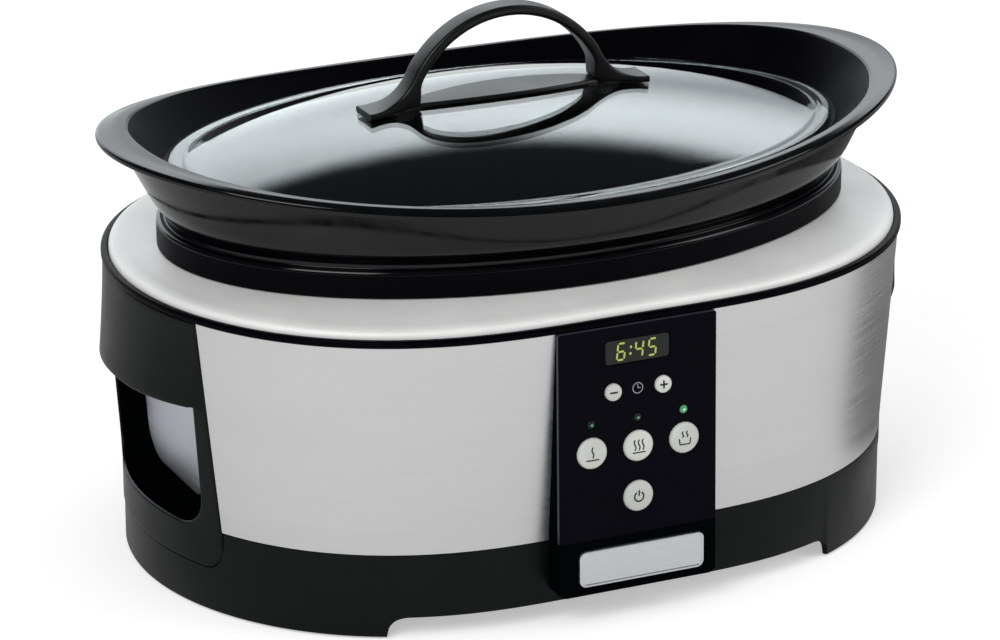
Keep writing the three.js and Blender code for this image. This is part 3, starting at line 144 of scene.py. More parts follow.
# Crock: a foot that stands in the well, a neck on the deck, a groove, and a flare up to a broad
# rim that rises toward both ends.
NECK_HALF = (186 * MM, 122.5 * MM)
NECK_HEIGHT = 14 * MM
GROOVE_DEPTH = 4.25 * MM
BODY_INSET = 8.5 * MM
BODY_DRAFT = 9 * MM
BODY_CORNER = 14 * MM
CROCK_WALL = 8 * MM
CROCK_FLOOR = 9 * MM
CROCK_CLEARANCE = 2.8 * MM
RIM_HALF = (CROCK_HIGH.x, CROCK_HIGH.y)
RIM_RISE = 17.5 * MM
RIM_HEIGHT = 211.5 * MM
RIM_THICKNESS = 4.6 * MM
RIM_END_WIDTH = 18.5 * MM
RIM_SIDE_WIDTH = 9 * MM
MOUTH_FULLNESS = 2.2
LEDGE_HEIGHT = LID_LOW.z - GAP
LEDGE_REST = 10 * MM
LID_ROOM = 2.3 * MM
FLOOR_MIDDLE = 60 * MM

# Where the crock turns darker and dull: this high above the deck on its neck, and this far inside
# the rim, where the painted shade of its inside starts.
DARKENED_LINE = 12.4 * MM
DARKENED_TURN = 0.9 * MM

# Lid: a flat flange and a dome inside it.
LID_HALF = (LID_HIGH.x, LID_HIGH.y)
LID_EDGE = 3.4 * MM
LID_FLANGE = 7.2 * MM
LID_GLASS = 4 * MM
DOME_HALF = (LID_HALF[0] - LID_FLANGE, LID_HALF[1] - LID_FLANGE)
DOME_TOP = LID_HIGH.z
DOME_EDGE = LID_LOW.z + LID_EDGE - 0.4 * MM
DOME_RISE = DOME_TOP - DOME_EDGE

# Handle of the lid: an arch whose two feet sweep out along the dome, and a sill between them.
ARCH_OUTER = 60 * MM
ARCH_CENTRE = GRIP_HIGH.z - ARCH_OUTER
ARCH_THICKNESS = 5.4 * MM
GRIP_HALF_WIDTH = 6.9 * MM
GRIP_SPRING = math.radians(32)
GRIP_ROUNDING = 2.1 * MM
FOOT_REACH = GRIP_HIGH.x
FOOT_HALF_WIDTH = 9.4 * MM
FOOT_THICKNESS = 3.0 * MM
FOOT_START = 58 * MM
SILL_REACH = 49 * MM
SILL_HALF = 53 * MM
SILL_END = 4.8 * MM
SILL_BELLY = 13.2 * MM
SILL_RISE = 1.9 * MM

# Control panel, drawn in its own frame: +X across, +Z up its face, +Y into the housing.
PANEL_REACH = 157.8 * MM
PANEL_LEAN = math.radians(1.43)
PANEL_PLACE = Matrix.Translation((0, -PANEL_REACH, 0)) @ Matrix.Rotation(-PANEL_LEAN, 4, "X")
PANEL_HALF = 43.3 * MM
PANEL_TOP = 156 * MM
PANEL_EDGE = 0.7 * MM
FASCIA_BOTTOM = 46.4 * MM
FASCIA_THICKNESS = 2 * MM
FASCIA_EDGE = 0.35 * MM
FASCIA_BORDER = 3 * MM
WINDOW_CENTRE = 142.6 * MM
WINDOW_EDGE = 0.2 * MM
DIGITS_DEPTH = 0.3 * MM
DIGIT_PLACES = ((-10.9 * MM, "6"), (-1.0 * MM, "4"), (6.2 * MM, "5"))
COLON_PLACE = -3.7 * MM
BADGE_HALF = (34.5 * MM, 9.5 * MM)
BADGE_CENTRE = 31.8 * MM
BADGE_OFFSET = 1.7 * MM
BADGE_PROUD = 1.4 * MM
BADGE_CORNER = 3.8 * MM
# Degrees between faces above which an edge of the panel's pieces stays sharp.
PANEL_SHARP = 12.0

# Buttons: middle across, middle up and radius of each; a collar under the fascia holds it in.
LARGE_BUTTON = 8 * MM
SMALL_BUTTON = 4.4 * MM
BUTTON_PROUD = 1.6 * MM
BUTTON_CROWN = 1.1 * MM
BUTTON_COLLAR = 1.2 * MM
BUTTON_COLLAR_HEIGHT = 1 * MM
BUTTON_STEM = 2.6 * MM
BUTTON_STEM_END = 5.1 * MM
BUTTON_ROW = 92.4 * MM
BUTTON_PITCH = 25.4 * MM
TIMER_ROW = 122.5 * MM
TIMER_PITCH = 13.7 * MM
BUTTONS = {
    "low": (-BUTTON_PITCH, BUTTON_ROW, LARGE_BUTTON),
    "high": (0.0, BUTTON_ROW, LARGE_BUTTON),
    "warm": (BUTTON_PITCH, BUTTON_ROW, LARGE_BUTTON),
    "power": (0.0, 66 * MM, LARGE_BUTTON),
    "minus": (-TIMER_PITCH, TIMER_ROW, SMALL_BUTTON),
    "plus": (TIMER_PITCH, TIMER_ROW, SMALL_BUTTON),
}
MARK_SHIFT = (-0.4 * MM, 0.3 * MM)
MARK_THICKNESS = 0.12 * MM

# Lamps over the buttons: a low dome, with a painted highlight in its middle: a paler spot that
# glows.
LENS_ROW = 107.1 * MM
LENS_RADIUS = 2.1 * MM
LENS_PROUD = 0.7 * MM
LENS_END = 7.1 * MM
PAINTED_HIGHLIGHT_RADIUS = 0.75 * MM

# Camera: how far round to the left and how far above the horizon, its distance and focal length,
# and how far right and up of the cooker's foot it aims.
CAMERA_SIDE = math.radians(-25.047)
CAMERA_HEIGHT = math.radians(20.221)
CAMERA_DISTANCE = 2.50244
CAMERA_LENS = 173.24
CAMERA_AIM_RIGHT = -2.207 * MM
CAMERA_AIM_UP = 106.321 * MM

# Stage, in metres: a floor, a flag beside the right end, and two softboxes (place, width,
# height and watts) that point at the middle of the cooker.
FLOOR_REACH = 14.0
PAPER_GLOW = 0.42
FLAG_LEFT, FLAG_RIGHT = 0.25, 0.7
FLAG_NEAR, FLAG_FAR = -0.13, 0.5
SOFTBOX_AIM = (0, 0, 0.12)
SOFTBOXES = {
    "key": ((-1.7, -1.5, 1.9), 1.3, 1.3, 30.0),
    "fill": ((1.9, -1.3, 1.3), 0.9, 1.4, 12.0),
}

# Light from all round: on matt surfaces, and the least and the tint of what is mirrored.
ROOM_LIGHT = 0.64
MIRRORED_LEAST = 0.06
MIRRORED_TINT = (0.9, 0.96, 1.0, 1.0)


# ---------------------------------------------------------------------------
# Small geometry
# ---------------------------------------------------------------------------

def grid_faces(rows, columns, close_rows, close_columns):
    """Quads over a grid of points numbered row by row."""
    row, column = np.meshgrid(
        np.arange(rows if close_rows else rows - 1),
        np.arange(columns if close_columns else columns - 1),
        indexing="ij",
    )
    next_row = (row + 1) % rows
    next_column = (column + 1) % columns
    corners = [
        row * columns + column,
        row * columns + next_column,
        next_row * columns + next_column,
        next_row * columns + column,
    ]
    return np.stack(corners, -1).reshape(-1, 4).tolist()


def new_piece(name, points, faces, sharp=35.0):
    """Mesh object from points and faces, with its faces turned outward and soft shading."""
    mesh = bpy.data.meshes.new(name)
    mesh.from_pydata(np.asarray(points, float).reshape(-1, 3).tolist(), [], faces)
    turn_outward(mesh)
    mesh.shade_smooth()
    mesh.set_sharp_from_angle(angle=math.radians(sharp))
    piece = bpy.data.objects.new(name, mesh)
    bpy.context.scene.collection.objects.link(piece)
    return piece


def turn_outward(mesh):
    """Merges points that coincide and turns the faces outward."""
    work = bmesh.new()
    work.from_mesh(mesh)
    bmesh.ops.remove_doubles(work, verts=work.verts, dist=1e-7)
    bmesh.ops.recalc_face_normals(work, faces=work.faces)
    work.to_mesh(mesh)
    work.free()
    mesh.update()


def tube_piece(name, rings, sharp=35.0):
    """Closed ring of closed sections."""
    rows, columns = rings.shape[:2]
    return new_piece(name, rings, grid_faces(rows, columns, True, True), sharp)


def stack_piece(name, rings, sharp=35.0):
    """Stack of closed rings, with a pole at each end."""
    rows, columns = rings.shape[:2]
    faces = grid_faces(rows, columns, False, True)
    low, high = rows * columns, rows * columns + 1
    last = (rows - 1) * columns
    for i in range(columns):
        j = (i + 1) % columns
        faces.append([low, j, i])
        faces.append([high, last + i, last + j])
    poles = [rings[0].mean(0), rings[-1].mean(0)]
    return new_piece(name, np.concatenate([rings.reshape(-1, 3), poles]), faces, sharp)


def slab_piece(name, rings, sharp=35.0):
    """Stack of closed rings, with a flat face at each end."""
    rows, columns = rings.shape[:2]
    faces = grid_faces(rows, columns, False, True)
    faces.append(list(range(columns))[::-1])
    faces.append([(rows - 1) * columns + i for i in range(columns)])
    return new_piece(name, rings, faces, sharp)


def rounded(corners, closed, steps=6, across=(0, 1)):
    """Line through (place, radius) corners, each bent with that radius instead of broken.

    A place may have any number of values; across names the two that lengths are measured in.
    """
    places = [np.asarray(place, float) for place, _ in corners]
    line = []
    for i, (_, radius) in enumerate(corners):
        here = places[i]
        if radius == 0 or (not closed and i in (0, len(places) - 1)):
            line.append(here)
            continue
        before = places[i - 1] - here
        after = places[(i + 1) % len(places)] - here
        reach_before = np.linalg.norm(before[list(across)])
        reach_after = np.linalg.norm(after[list(across)])
        start = here + before * min(radius / reach_before, 0.48)
        end = here + after * min(radius / reach_after, 0.48)
        for t in np.linspace(0, 1, steps):
            line.append((1 - t) ** 2 * start + 2 * t * (1 - t) * here + t ** 2 * end)
    return np.array(line)


def spread(line, longest, across=(0, 1)):
    """The same line with points added, so that no step is longer than given."""
    dense = [line[0]]
    for start, end in zip(line[:-1], line[1:]):
        length = np.linalg.norm((end - start)[list(across)])
        count = max(1, math.ceil(length / longest))
        for step in range(1, count + 1):
            dense.append(start + (end - start) * step / count)
    return np.array(dense)


def smooth_step(value, low, high):
    """Rises from 0 to 1 between low and high, level at both ends."""
    share = np.clip((np.asarray(value, float) - low) / (high - low), 0, 1)
    return share * share * (3 - 2 * share)


def shell_piece(name, outer, inner, keep):
    """Closed sheet between two grids of points, made of the grid cells that are kept."""
    rows, columns = outer.shape[:2]
    count = rows * columns
    cells = [
        cell
        for cell, kept in zip(grid_faces(rows, columns, False, False), keep.ravel())
        if kept
    ]
    edges = {(start, end) for cell in cells for start, end in zip(cell, cell[1:] + cell[:1])}
    faces = list(cells)
    faces += [[corner + count for corner in reversed(cell)] for cell in cells]
    faces += [
        [end, start, start + count, end + count]
        for start, end in edges
        if (end, start) not in edges
    ]
    points = np.concatenate([outer.reshape(-1, 3), inner.reshape(-1, 3)])
    used = sorted({corner for face in faces for corner in face})
    place = {corner: i for i, corner in enumerate(used)}
    return new_piece(name, points[used], [[place[corner] for corner in face] for face in faces])


def smoothed_copy(name, node, edge=0.0, sharp=35.0):
    """Merged copy of a solid part with soft shading and, if wanted, its edges rounded."""
    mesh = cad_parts[node].data.copy()
    mesh.name = name
    piece = bpy.data.objects.new(name, mesh)
    bpy.context.scene.collection.objects.link(piece)
    work = bmesh.new()
    work.from_mesh(mesh)
    bmesh.ops.remove_doubles(work, verts=work.verts, dist=1e-6)
    bmesh.ops.dissolve_limit(
        work, angle_limit=math.radians(1), verts=work.verts, edges=work.edges
    )
    work.to_mesh(mesh)
    work.free()
    if edge:
        change = piece.modifiers.new("edges", "BEVEL")
        change.width = edge
        change.segments = 2
        change.limit_method = "ANGLE"
        change.angle_limit = math.radians(50)
        bake_modifiers(piece, sharp)
    else:
        mesh.shade_smooth()
        mesh.set_sharp_from_angle(angle=math.radians(sharp))
    return piece


# ---------------------------------------------------------------------------
# Outlines of the cooker
# ---------------------------------------------------------------------------

def housing_point(half_length, half_depth, angle):
    """Housing outline: a swing between the half axes with its four shoulders pushed outward."""
    mean = (half_length + half_depth) / 2 + SHOULDER
    swing = (half_length - half_depth) / 2
    reach = mean + swing * np.cos(2 * angle) - SHOULDER * np.cos(4 * angle)
    return np.stack([reach * np.cos(angle), reach * np.sin(angle)], -1)


def housing(angle, height, offset):
    """Points on the housing at an angle and a height, pushed outward by an offset."""
    angle, height, offset = np.broadcast_arrays(angle, height, offset)
    lean = LEAN * (1 - np.clip((height - WALL_BOTTOM) / (WALL_TOP - WALL_BOTTOM), 0, 1))
    here = housing_point(HALF_LENGTH - lean, HALF_DEPTH - lean, angle)
    ahead = housing_point(HALF_LENGTH - lean, HALF_DEPTH - lean, angle + 1e-4)
    along = ahead - here
    outward = np.stack([along[..., 1], -along[..., 0]], -1)
    outward /= np.linalg.norm(outward, axis=-1, keepdims=True)
    flat = here + outward * offset[..., None]
    return np.concatenate([flat, height[..., None]], -1)


def around(sides):
    """Angles of a full turn in equal steps."""
    return np.linspace(0, 2 * math.pi, sides, endpoint=False)


def angle_at(across, height):
    """Angle of the housing's right end at which it lies that far across, at a height."""
    table = np.linspace(0, math.pi / 2, 400)
    across, height = np.broadcast_arrays(across, height)
    found = [
        np.interp(abs(y), housing(table, z, 0.0)[:, 1], table)
        for y, z in zip(across.ravel(), height.ravel())
    ]
    return np.sign(across) * np.array(found).reshape(across.shape)


def oval_rings(stack, sides):
    """Rings from rows of (half length, half depth, height, rise, fullness)."""
    angle = around(sides)[None, :]
    length, depth, height, rise, power = (stack[:, i, None] for i in range(5))
    along, across = np.cos(angle), np.sin(angle)
    x = length * np.sign(along) * np.abs(along) ** (2 / power)
    y = depth * np.sign(across) * np.abs(across) ** (2 / power)
    z = height + rise * along ** 2 * np.abs(x / np.maximum(length * np.abs(along), 1e-9)) ** 2
    return np.stack([x, y, np.broadcast_to(z, x.shape)], -1)


def handle_half(height):
    """Half width of an end handle at a height."""
    share = (height - HANDLE_BOTTOM) / (WALL_TOP - HANDLE_BOTTOM)
    return HANDLE_HALF + (HANDLE_TOP_HALF - HANDLE_HALF) * share


def dome_height(x):
    """Height of the lid's dome over its long axis."""
    return DOME_EDGE + DOME_RISE * (1 - (x / DOME_HALF[0]) ** 2)


def on_panel(points):
    """Points of the panel's own frame, in the part's frame."""
    place = np.array(PANEL_PLACE)
    return np.asarray(points) @ place[:3, :3].T + place[:3, 3]


def rounded_rectangle(half_width, bottom, top, radius):
    """Closed outline in X and Z, from the bottom right corner round to the left."""
    right, low, high = half_width - radius, bottom + radius, top - radius
    middles = ((right, low), (right, high), (-right, high), (-right, low))
    turns = np.radians(np.linspace(0, 90, 8))
    outline = []
    for (x, z), start in zip(middles, (-90, 0, 90, 180)):
        for turn in turns + math.radians(start):
            outline.append((x + radius * math.cos(turn), z + radius * math.sin(turn)))
    return np.array(outline)


# ---------------------------------------------------------------------------
# Finishing pieces
# ---------------------------------------------------------------------------

def settle(piece, body, material, nodes=()):
    """Gives a piece its finish, its body and the solid parts it stands for."""
    piece.data.materials.clear()
    piece.data.materials.append(material)
    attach(piece, body)
    if nodes:
        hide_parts(*nodes)


def dress(node, material):
    """Gives a solid part that stays visible its finish."""
    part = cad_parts[node]
    part.data.materials.clear()
    part.data.materials.append(material)


def weld(piece, other):
    """Joins another closed piece to a piece, so that they are one shell."""
    change = piece.modifiers.new("join", "BOOLEAN")
    change.operation = "UNION"
    change.solver = "EXACT"
    change.object = other
    bake_modifiers(piece)
    bpy.data.objects.remove(other)
    return piece


def bake_modifiers(piece, sharp=35.0):
    """Replaces a piece's mesh by what its modifiers make of it, with soft shading."""
    bpy.context.view_layer.update()
    ready = piece.evaluated_get(bpy.context.evaluated_depsgraph_get())
    mesh = bpy.data.meshes.new_from_object(ready)
    piece.modifiers.clear()
    piece.data = mesh
    mesh.shade_smooth()
    mesh.set_sharp_from_angle(angle=math.radians(sharp))


# ---------------------------------------------------------------------------
# Finishes
# ---------------------------------------------------------------------------

def linear(hex_colour):
    """Linear RGBA of an sRGB colour written as six hex digits."""
    values = [int(hex_colour[i:i + 2], 16) / 255 for i in (0, 2, 4)]
    return (*[v / 12.92 if v <= 0.04045 else ((v + 0.055) / 1.055) ** 2.4 for v in values], 1.0)


def add_node(tree, kind, inputs=None, **settings):
    """Adds a node with its settings; an input takes a value or the output that feeds it."""
    node = tree.nodes.new(kind)
    for name, value in settings.items():
        setattr(node, name, value)
    for key, value in (inputs or {}).items():
        if isinstance(value, bpy.types.NodeSocket):
            tree.links.new(value, node.inputs[key])
        else:
            node.inputs[key].default_value = value
    return node


def maths(tree, operation, first, second):
    """Result of an operation on two numbers; each is a value or the output that feeds it."""
    numbers = {0: first, 1: second}
    return add_node(tree, "ShaderNodeMath", numbers, operation=operation).outputs[0]


def new_finish(name, colour, roughness, **sockets):
    """Material with one principled shader; returns it with its tree and its shader."""
    material = bpy.data.materials.new(name)
    material.use_nodes = True
    tree = material.node_tree
    tree.nodes.clear()
    base = {"Base Color": colour, "Roughness": roughness}
    shader = add_node(tree, "ShaderNodeBsdfPrincipled", base)
    for socket, value in sockets.items():
        shader.inputs[socket.replace("_", " ")].default_value = value
    add_node(tree, "ShaderNodeOutputMaterial", {"Surface": shader.outputs["BSDF"]})
    return material, tree, shader


def texture(tree, pitch, detail=2.0, kind="ShaderNodeTexNoise"):
    """Pattern over the part whose cells are a number of metres, or three numbers, apart."""
    place = add_node(tree, "ShaderNodeTexCoord").outputs["Object"]
    scale = [1 / p for p in (pitch if isinstance(pitch, tuple) else (pitch,) * 3)]
    spaced = add_node(tree, "ShaderNodeMapping", {"Vector": place, "Scale": scale})
    inputs = {"Vector": spaced.outputs["Vector"], "Scale": 1.0}
    if kind == "ShaderNodeTexNoise":
        inputs["Detail"] = detail
    return add_node(tree, kind, inputs).outputs[0]


def between(tree, factor, low, high):
    """Number or colour that goes from low to high with a factor from 0.3 to 0.7."""
    if isinstance(low, tuple):
        ramp = add_node(tree, "ShaderNodeValToRGB", {"Fac": factor})
        ramp.color_ramp.elements[0].position = 0.3
        ramp.color_ramp.elements[0].color = low
        ramp.color_ramp.elements[1].position = 0.7
        ramp.color_ramp.elements[1].color = high
        return ramp.outputs["Color"]
    levels = {"Value": factor, "From Min": 0.3, "From Max": 0.7, "To Min": low, "To Max": high}
    return add_node(tree, "ShaderNodeMapRange", levels).outputs["Result"]


def vary(tree, shader, socket, factor, low, high):
    """Lets a socket of the shader go from low to high with a pattern."""
    tree.links.new(between(tree, factor, low, high), shader.inputs[socket])


def bump(tree, shader, height, distance):
    """Raises the surface by a pattern, at most by a distance in metres."""
    relief = {"Height": height, "Distance": distance, "Strength": 1.0}
    raised = add_node(tree, "ShaderNodeBump", relief)
    tree.links.new(raised.outputs["Normal"], shader.inputs["Normal"])


def shade(colour, share):
    """The colour with its red, green and blue times a share."""
    return (*[value * share for value in colour[:3]], 1.0)


def brushed_steel(name, tint, pitch, roughness, spread_share=0.1):
    """Stainless sheet brushed with an abrasive belt: fine lines lie along x, and a highlight
    smears across them."""
    material, tree, shader = new_finish(name, tint, roughness, Metallic=1.0)
    line = texture(tree, (90 * MM, 90 * MM, pitch), 4.0)
    cloud = texture(tree, (160 * MM, 160 * MM, 22 * MM), 1.0)
    mix = add_node(tree, "ShaderNodeMix", {0: 0.35, 2: line, 3: cloud}).outputs[0]
    dark, light = shade(tint, 1 - spread_share), shade(tint, 1 + spread_share)
    vary(tree, shader, "Base Color", mix, dark, light)
    vary(tree, shader, "Roughness", line, roughness - 0.06, roughness + 0.08)
    bump(tree, shader, line, 0.012 * MM)
    return material


def satin_steel(name, tint, roughness):
    """Bead-blasted stainless pressing: no lines, and a pale bloom that hides most of what it
    mirrors, so it is only partly metallic."""
    material, tree, shader = new_finish(name, tint, roughness, Metallic=0.15)
    cloud = texture(tree, 35 * MM, 3.0)
    vary(tree, shader, "Base Color", cloud, shade(tint, 0.95), shade(tint, 1.04))
    grit = texture(tree, 0.9 * MM, 1.0)
    vary(tree, shader, "Roughness", grit, roughness - 0.04, roughness + 0.05)
    bump(tree, shader, grit, 0.006 * MM)
    return material


def moulded_plastic(name, colour, roughness, grain=0.9 * MM, relief=0.02 * MM, level=0.5):
    """Injection-moulded plastic: an even colour with a very fine eroded grain that softens the
    highlight, and slow changes of sheen where the melt flowed."""
    sockets = {"IOR": 1.5, "Specular_IOR_Level": level}
    material, tree, shader = new_finish(name, colour, roughness, **sockets)
    flow = texture(tree, 30 * MM, 2.0)
    vary(tree, shader, "Base Color", flow, shade(colour, 0.88), shade(colour, 1.12))
    vary(tree, shader, "Roughness", flow, roughness - 0.04, roughness + 0.04)
    bump(tree, shader, texture(tree, grain, 2.0), relief)
    return material


def glazed_stoneware(name, colour, roughness):
    """Stoneware under a glossy black glaze: mirror-like, but the glaze lies in slow waves."""
    sockets = {"IOR": 1.52, "Specular_IOR_Level": 0.31}
    material, tree, shader = new_finish(name, colour, roughness, **sockets)
    cloud = texture(tree, 12 * MM, 3.0)
    vary(tree, shader, "Base Color", cloud, shade(colour, 0.8), shade(colour, 1.3))
    vary(tree, shader, "Roughness", cloud, roughness - 0.03, roughness + 0.05)
    bump(tree, shader, texture(tree, 26 * MM, 1.0), 0.04 * MM)
    return material


def tempered_glass(name):
    """Pressed and tempered soda-lime glass: clear, with faint waves from the press."""
    sockets = {"IOR": 1.52, "Transmission_Weight": 1.0}
    material, tree, shader = new_finish(name, linear("f4faf8"), 0.01, **sockets)
    ripple = texture(tree, 28 * MM, 1.0)
    vary(tree, shader, "Roughness", ripple, 0.008, 0.02)
    bump(tree, shader, ripple, 0.04 * MM)
    return material


def speckled(name, dark, light, pitch, roughness, metal=0.0, relief=0.01 * MM):
    """Plain surface with fine specks of a second tone, as on rubber, solder mask or zinc."""
    material, tree, shader = new_finish(name, dark, roughness, Metallic=metal)
    speck = texture(tree, pitch, 4.0)
    vary(tree, shader, "Base Color", speck, dark, light)
    vary(tree, shader, "Roughness", speck, roughness - 0.05, roughness + 0.05)
    bump(tree, shader, speck, relief)
    return material


def spangled_zinc(name):
    """Hot-dip galvanised sheet: flat crystals of zinc a few millimetres wide, each its own
    grey."""
    material, tree, shader = new_finish(name, linear("a9adb0"), 0.4, Metallic=1.0)
    crystal = texture(tree, 5 * MM, kind="ShaderNodeTexVoronoi")
    vary(tree, shader, "Base Color", crystal, linear("8f9497"), linear("c3c7ca"))
    vary(tree, shader, "Roughness", crystal, 0.34, 0.5)
    return material


def crumpled_foil(name):
    """Aluminium foil tape over the heater: bright, with sharp shallow creases."""
    material, tree, shader = new_finish(name, linear("c8cacb"), 0.28, Metallic=1.0)
    crease = texture(tree, 9 * MM, kind="ShaderNodeTexVoronoi")
    vary(tree, shader, "Roughness", crease, 0.2, 0.36)
    bump(tree, shader, crease, 0.3 * MM)
    return material


def lit_segment(name, colour, strength, roughness=0.35):
    """Segment of a lit display: an even glow that falls off a little from place to place."""
    sockets = {"Emission_Strength": strength}
    material, tree, shader = new_finish(name, shade(colour, 0.4), roughness, **sockets)
    glow = texture(tree, 2.5 * MM, 1.0)
    vary(tree, shader, "Emission Color", glow, shade(colour, 0.9), colour)
    return material


def finish(name):
    """The named finish, made the first time it is asked for."""
    if name not in bpy.data.materials:
        FINISHES[name](name)
    return bpy.data.materials[name]


def add_finish(piece, name, belongs):
    """Gives a piece a second finish, on the faces that belong to it."""
    piece.data.materials.append(finish(name))
    for face in piece.data.polygons:
        face.material_index = int(belongs(face))


def tone(name):
    """Linear RGBA of one of the colours that a user may change."""
    return (*getattr(bpy.context.scene.cooker_colours, name), 1.0)


# Every finish, by the name of its material and of how that is made.
FINISHES = {
    # Walls: pale steel whose level lines only just show
    "stainless_brushed": lambda name: brushed_steel(name, tone("steel"), 0.95 * MM, 0.34, 0.035),
    # Deck: frosted and nearly white, with no lines
    "stainless_satin": lambda name: satin_steel(name, tone("deck"), 0.5),
    # Plates at the back of the finger pockets: bluer, with stronger lines
    "stainless_pocket": lambda name: brushed_steel(name, linear("c9cdd6"), 0.8 * MM, 0.36),
    # Base and end handles: black with a low, broad sheen
    "abs_satin": lambda name: moulded_plastic(name, tone("moulding"), 0.34, level=0.13),
    # Inside of the pockets: painted shade, darker than the mouldings and with no highlight, over a
    # coarse grain
    "abs_pocket_painted_shade": lambda name: moulded_plastic(
        name, linear("020303"), 0.6, 0.7 * MM, 0.04 * MM, 0.0
    ),
    # Trim ring: deep black with a narrow, faint line of light
    "abs_gloss": lambda name: moulded_plastic(name, linear("020207"), 0.3, level=0.03),
    # Box of the control panel: black without a highlight
    "abs_panel": lambda name: moulded_plastic(name, linear("040607"), 0.5, level=0.0),
    # Face of the control panel: mirrors the room faintly but sharply
    "acrylic_polished": lambda name: moulded_plastic(
        name, linear("02020a"), 0.09, 30 * MM, 0.02 * MM, 0.05
    ),
    # Its outline: a thin grey line round the face, a painted highlight along its edges
    "acrylic_edge_painted_highlight": lambda name: moulded_plastic(
        name, linear("3a3c4a"), 0.5, 0.5 * MM, 0.03 * MM, 0.3
    ),
    # Lid's handle: harder and shinier than the mouldings
    "phenolic_satin": lambda name: moulded_plastic(name, linear("060707"), 0.34, level=0.38),
    # Outside and rim of the crock: black glass with slow waves
    "stoneware_glazed": lambda name: glazed_stoneware(name, tone("glaze"), 0.11),
    # Foot and neck of the crock: darker and dull, with a grain; its inside the same, as painted
    # shade
    "stoneware_darkened": lambda name: moulded_plastic(
        name, linear("020206"), 0.45, 1.4 * MM, 0.03 * MM, 0.05
    ),
    # Lid: clear, so only its edges and the bent view behind it show
    "glass_tempered": tempered_glass,
    # Window of the display: dark green-grey with a soft reflection
    "display_glass": lambda name: moulded_plastic(
        name, linear("1a1e1a"), 0.12, 20 * MM, 0.01 * MM, 0.3
    ),
    # Buttons: warm light grey with a soft highlight on each dome
    "button_abs": lambda name: moulded_plastic(name, tone("button"), 0.38, level=0.4),
    # Marks on the buttons, and the lighter one on the panel: flat printed ink
    "button_ink": lambda name: moulded_plastic(name, linear("202322"), 0.5),
    "panel_ink": lambda name: moulded_plastic(name, linear("85888e"), 0.5),
    # Digits: yellow-green, lit but not glaring
    "display_segment": lambda name: lit_segment(name, tone("digit"), 0.85),
    # Lamps: a green lens that glows when lit and is almost black otherwise, with a painted
    # highlight in its middle that glows paler, on the lit lamp partly its own glow
    "lamp_lit": lambda name: lit_segment(name, tone("lamp"), 0.22, 0.2),
    "lamp_lit_painted_highlight": lambda name: lit_segment(name, linear("a9e0ba"), 0.75, 0.2),
    "lamp_dim": lambda name: moulded_plastic(name, linear("0d2a1b"), 0.25, 6 * MM, 0.01 * MM, 0.2),
    # The unlit lamp's middle glows too: a painted highlight.
    "lamp_dim_painted_highlight": lambda name: lit_segment(name, linear("6f9c80"), 0.5, 0.2),
    # Name plate: brighter than the walls, with close lines
    "badge_brushed": lambda name: brushed_steel(name, linear("dfe1e5"), 0.7 * MM, 0.3, 0.05),
    # Feet and cord gland: dull black with faint dust
    "rubber_moulded": lambda name: speckled(
        name, linear("161616"), linear("222222"), 0.6 * MM, 0.75, relief=0.05 * MM
    ),
    # Washers under the lid's handle: dark grey, duller than glass
    "silicone_moulded": lambda name: speckled(
        name, linear("3a3a3a"), linear("4a4a4a"), 0.8 * MM, 0.6
    ),
    # Screws and tie bolt: bright, finely mottled
    "zinc_plated": lambda name: speckled(
        name, linear("a8abad"), linear("c6c9cb"), 1.2 * MM, 0.3, 1.0
    ),
    # Floor plate: patchwork of grey crystals
    "zinc_spangled": spangled_zinc,
    # Heating well: plain metal with the rings of its spinning
    "aluminium_spun": lambda name: brushed_steel(name, linear("b9babb"), 1.5 * MM, 0.34),
    # Heater band: bright creased tape
    "foil_crumpled": crumpled_foil,
    # Heat sensor: yellow metal with tool marks
    "brass_turned": lambda name: brushed_steel(name, linear("b5924c"), 0.5 * MM, 0.3),
    # Circuit boards: green lacquer over slightly uneven copper
    "solder_mask": lambda name: speckled(name, linear("1f5a33"), linear("2d7747"), 1.6 * MM, 0.35),
    # Terminal block: ivory plastic
    "nylon_moulded": lambda name: moulded_plastic(name, linear("d8d6cc"), 0.45),
}


# ---------------------------------------------------------------------------
# Settings that a user would change
# ---------------------------------------------------------------------------

def length_setting(name, description, default, highest):
    return FloatProperty(
        name=name, description=description, default=default, min=0.0, max=highest,
        subtype="DISTANCE", unit="LENGTH", precision=5,
    )


def colour_setting(name, description, hex_colour):
    return FloatVectorProperty(
        name=name, description=description, default=linear(hex_colour)[:3], min=0.0, max=1.0,
        size=3, subtype="COLOR",
    )


class CookerSizes(bpy.types.PropertyGroup):
    """Roundings and small sizes of the finished surfaces."""

    rim_rounding: length_setting(
        "Rim rounding", "Radius of the crock's outer edge", 2.2 * MM, 2.29 * MM
    )
    deck_roll: length_setting(
        "Deck roll", "Radius with which the deck turns down into the trim ring", 6 * MM, 8 * MM
    )
    moulding_edge: length_setting(
        "Moulding edge", "Rounding of the edges of the end handles", 0.9 * MM, 1.5 * MM
    )
    button_dome: length_setting(
        "Button dome", "How far a button's middle stands over its edge", 0.7 * MM, BUTTON_CROWN
    )
    digit_height: length_setting(
        "Digit height", "Height of the digits in the display", 8.4 * MM, 10 * MM
    )
    round_sides: IntProperty(
        name="Sides", description="Facets around the large oval pieces", default=288,
        min=96, max=512,
    )


class CookerColours(bpy.types.PropertyGroup):
    """Colours of the finishes that are seen most."""

    steel: colour_setting("Walls", "Tint of the brushed steel walls", "dedfde")
    deck: colour_setting("Deck", "Tint of the satin steel deck", "f1f2f0")
    moulding: colour_setting("Mouldings", "Base and end handles", "0b0f0e")
    glaze: colour_setting("Glaze", "Glaze of the crock", "050607")
    button: colour_setting("Buttons", "Plastic of the buttons", "c9cbc5")
    digit: colour_setting("Digits", "Lit segments of the display", "a4ac52")
    lamp: colour_setting("Lamp", "Lit lamp over the buttons", "5fc083")


# ---------------------------------------------------------------------------
# Housing
# ---------------------------------------------------------------------------

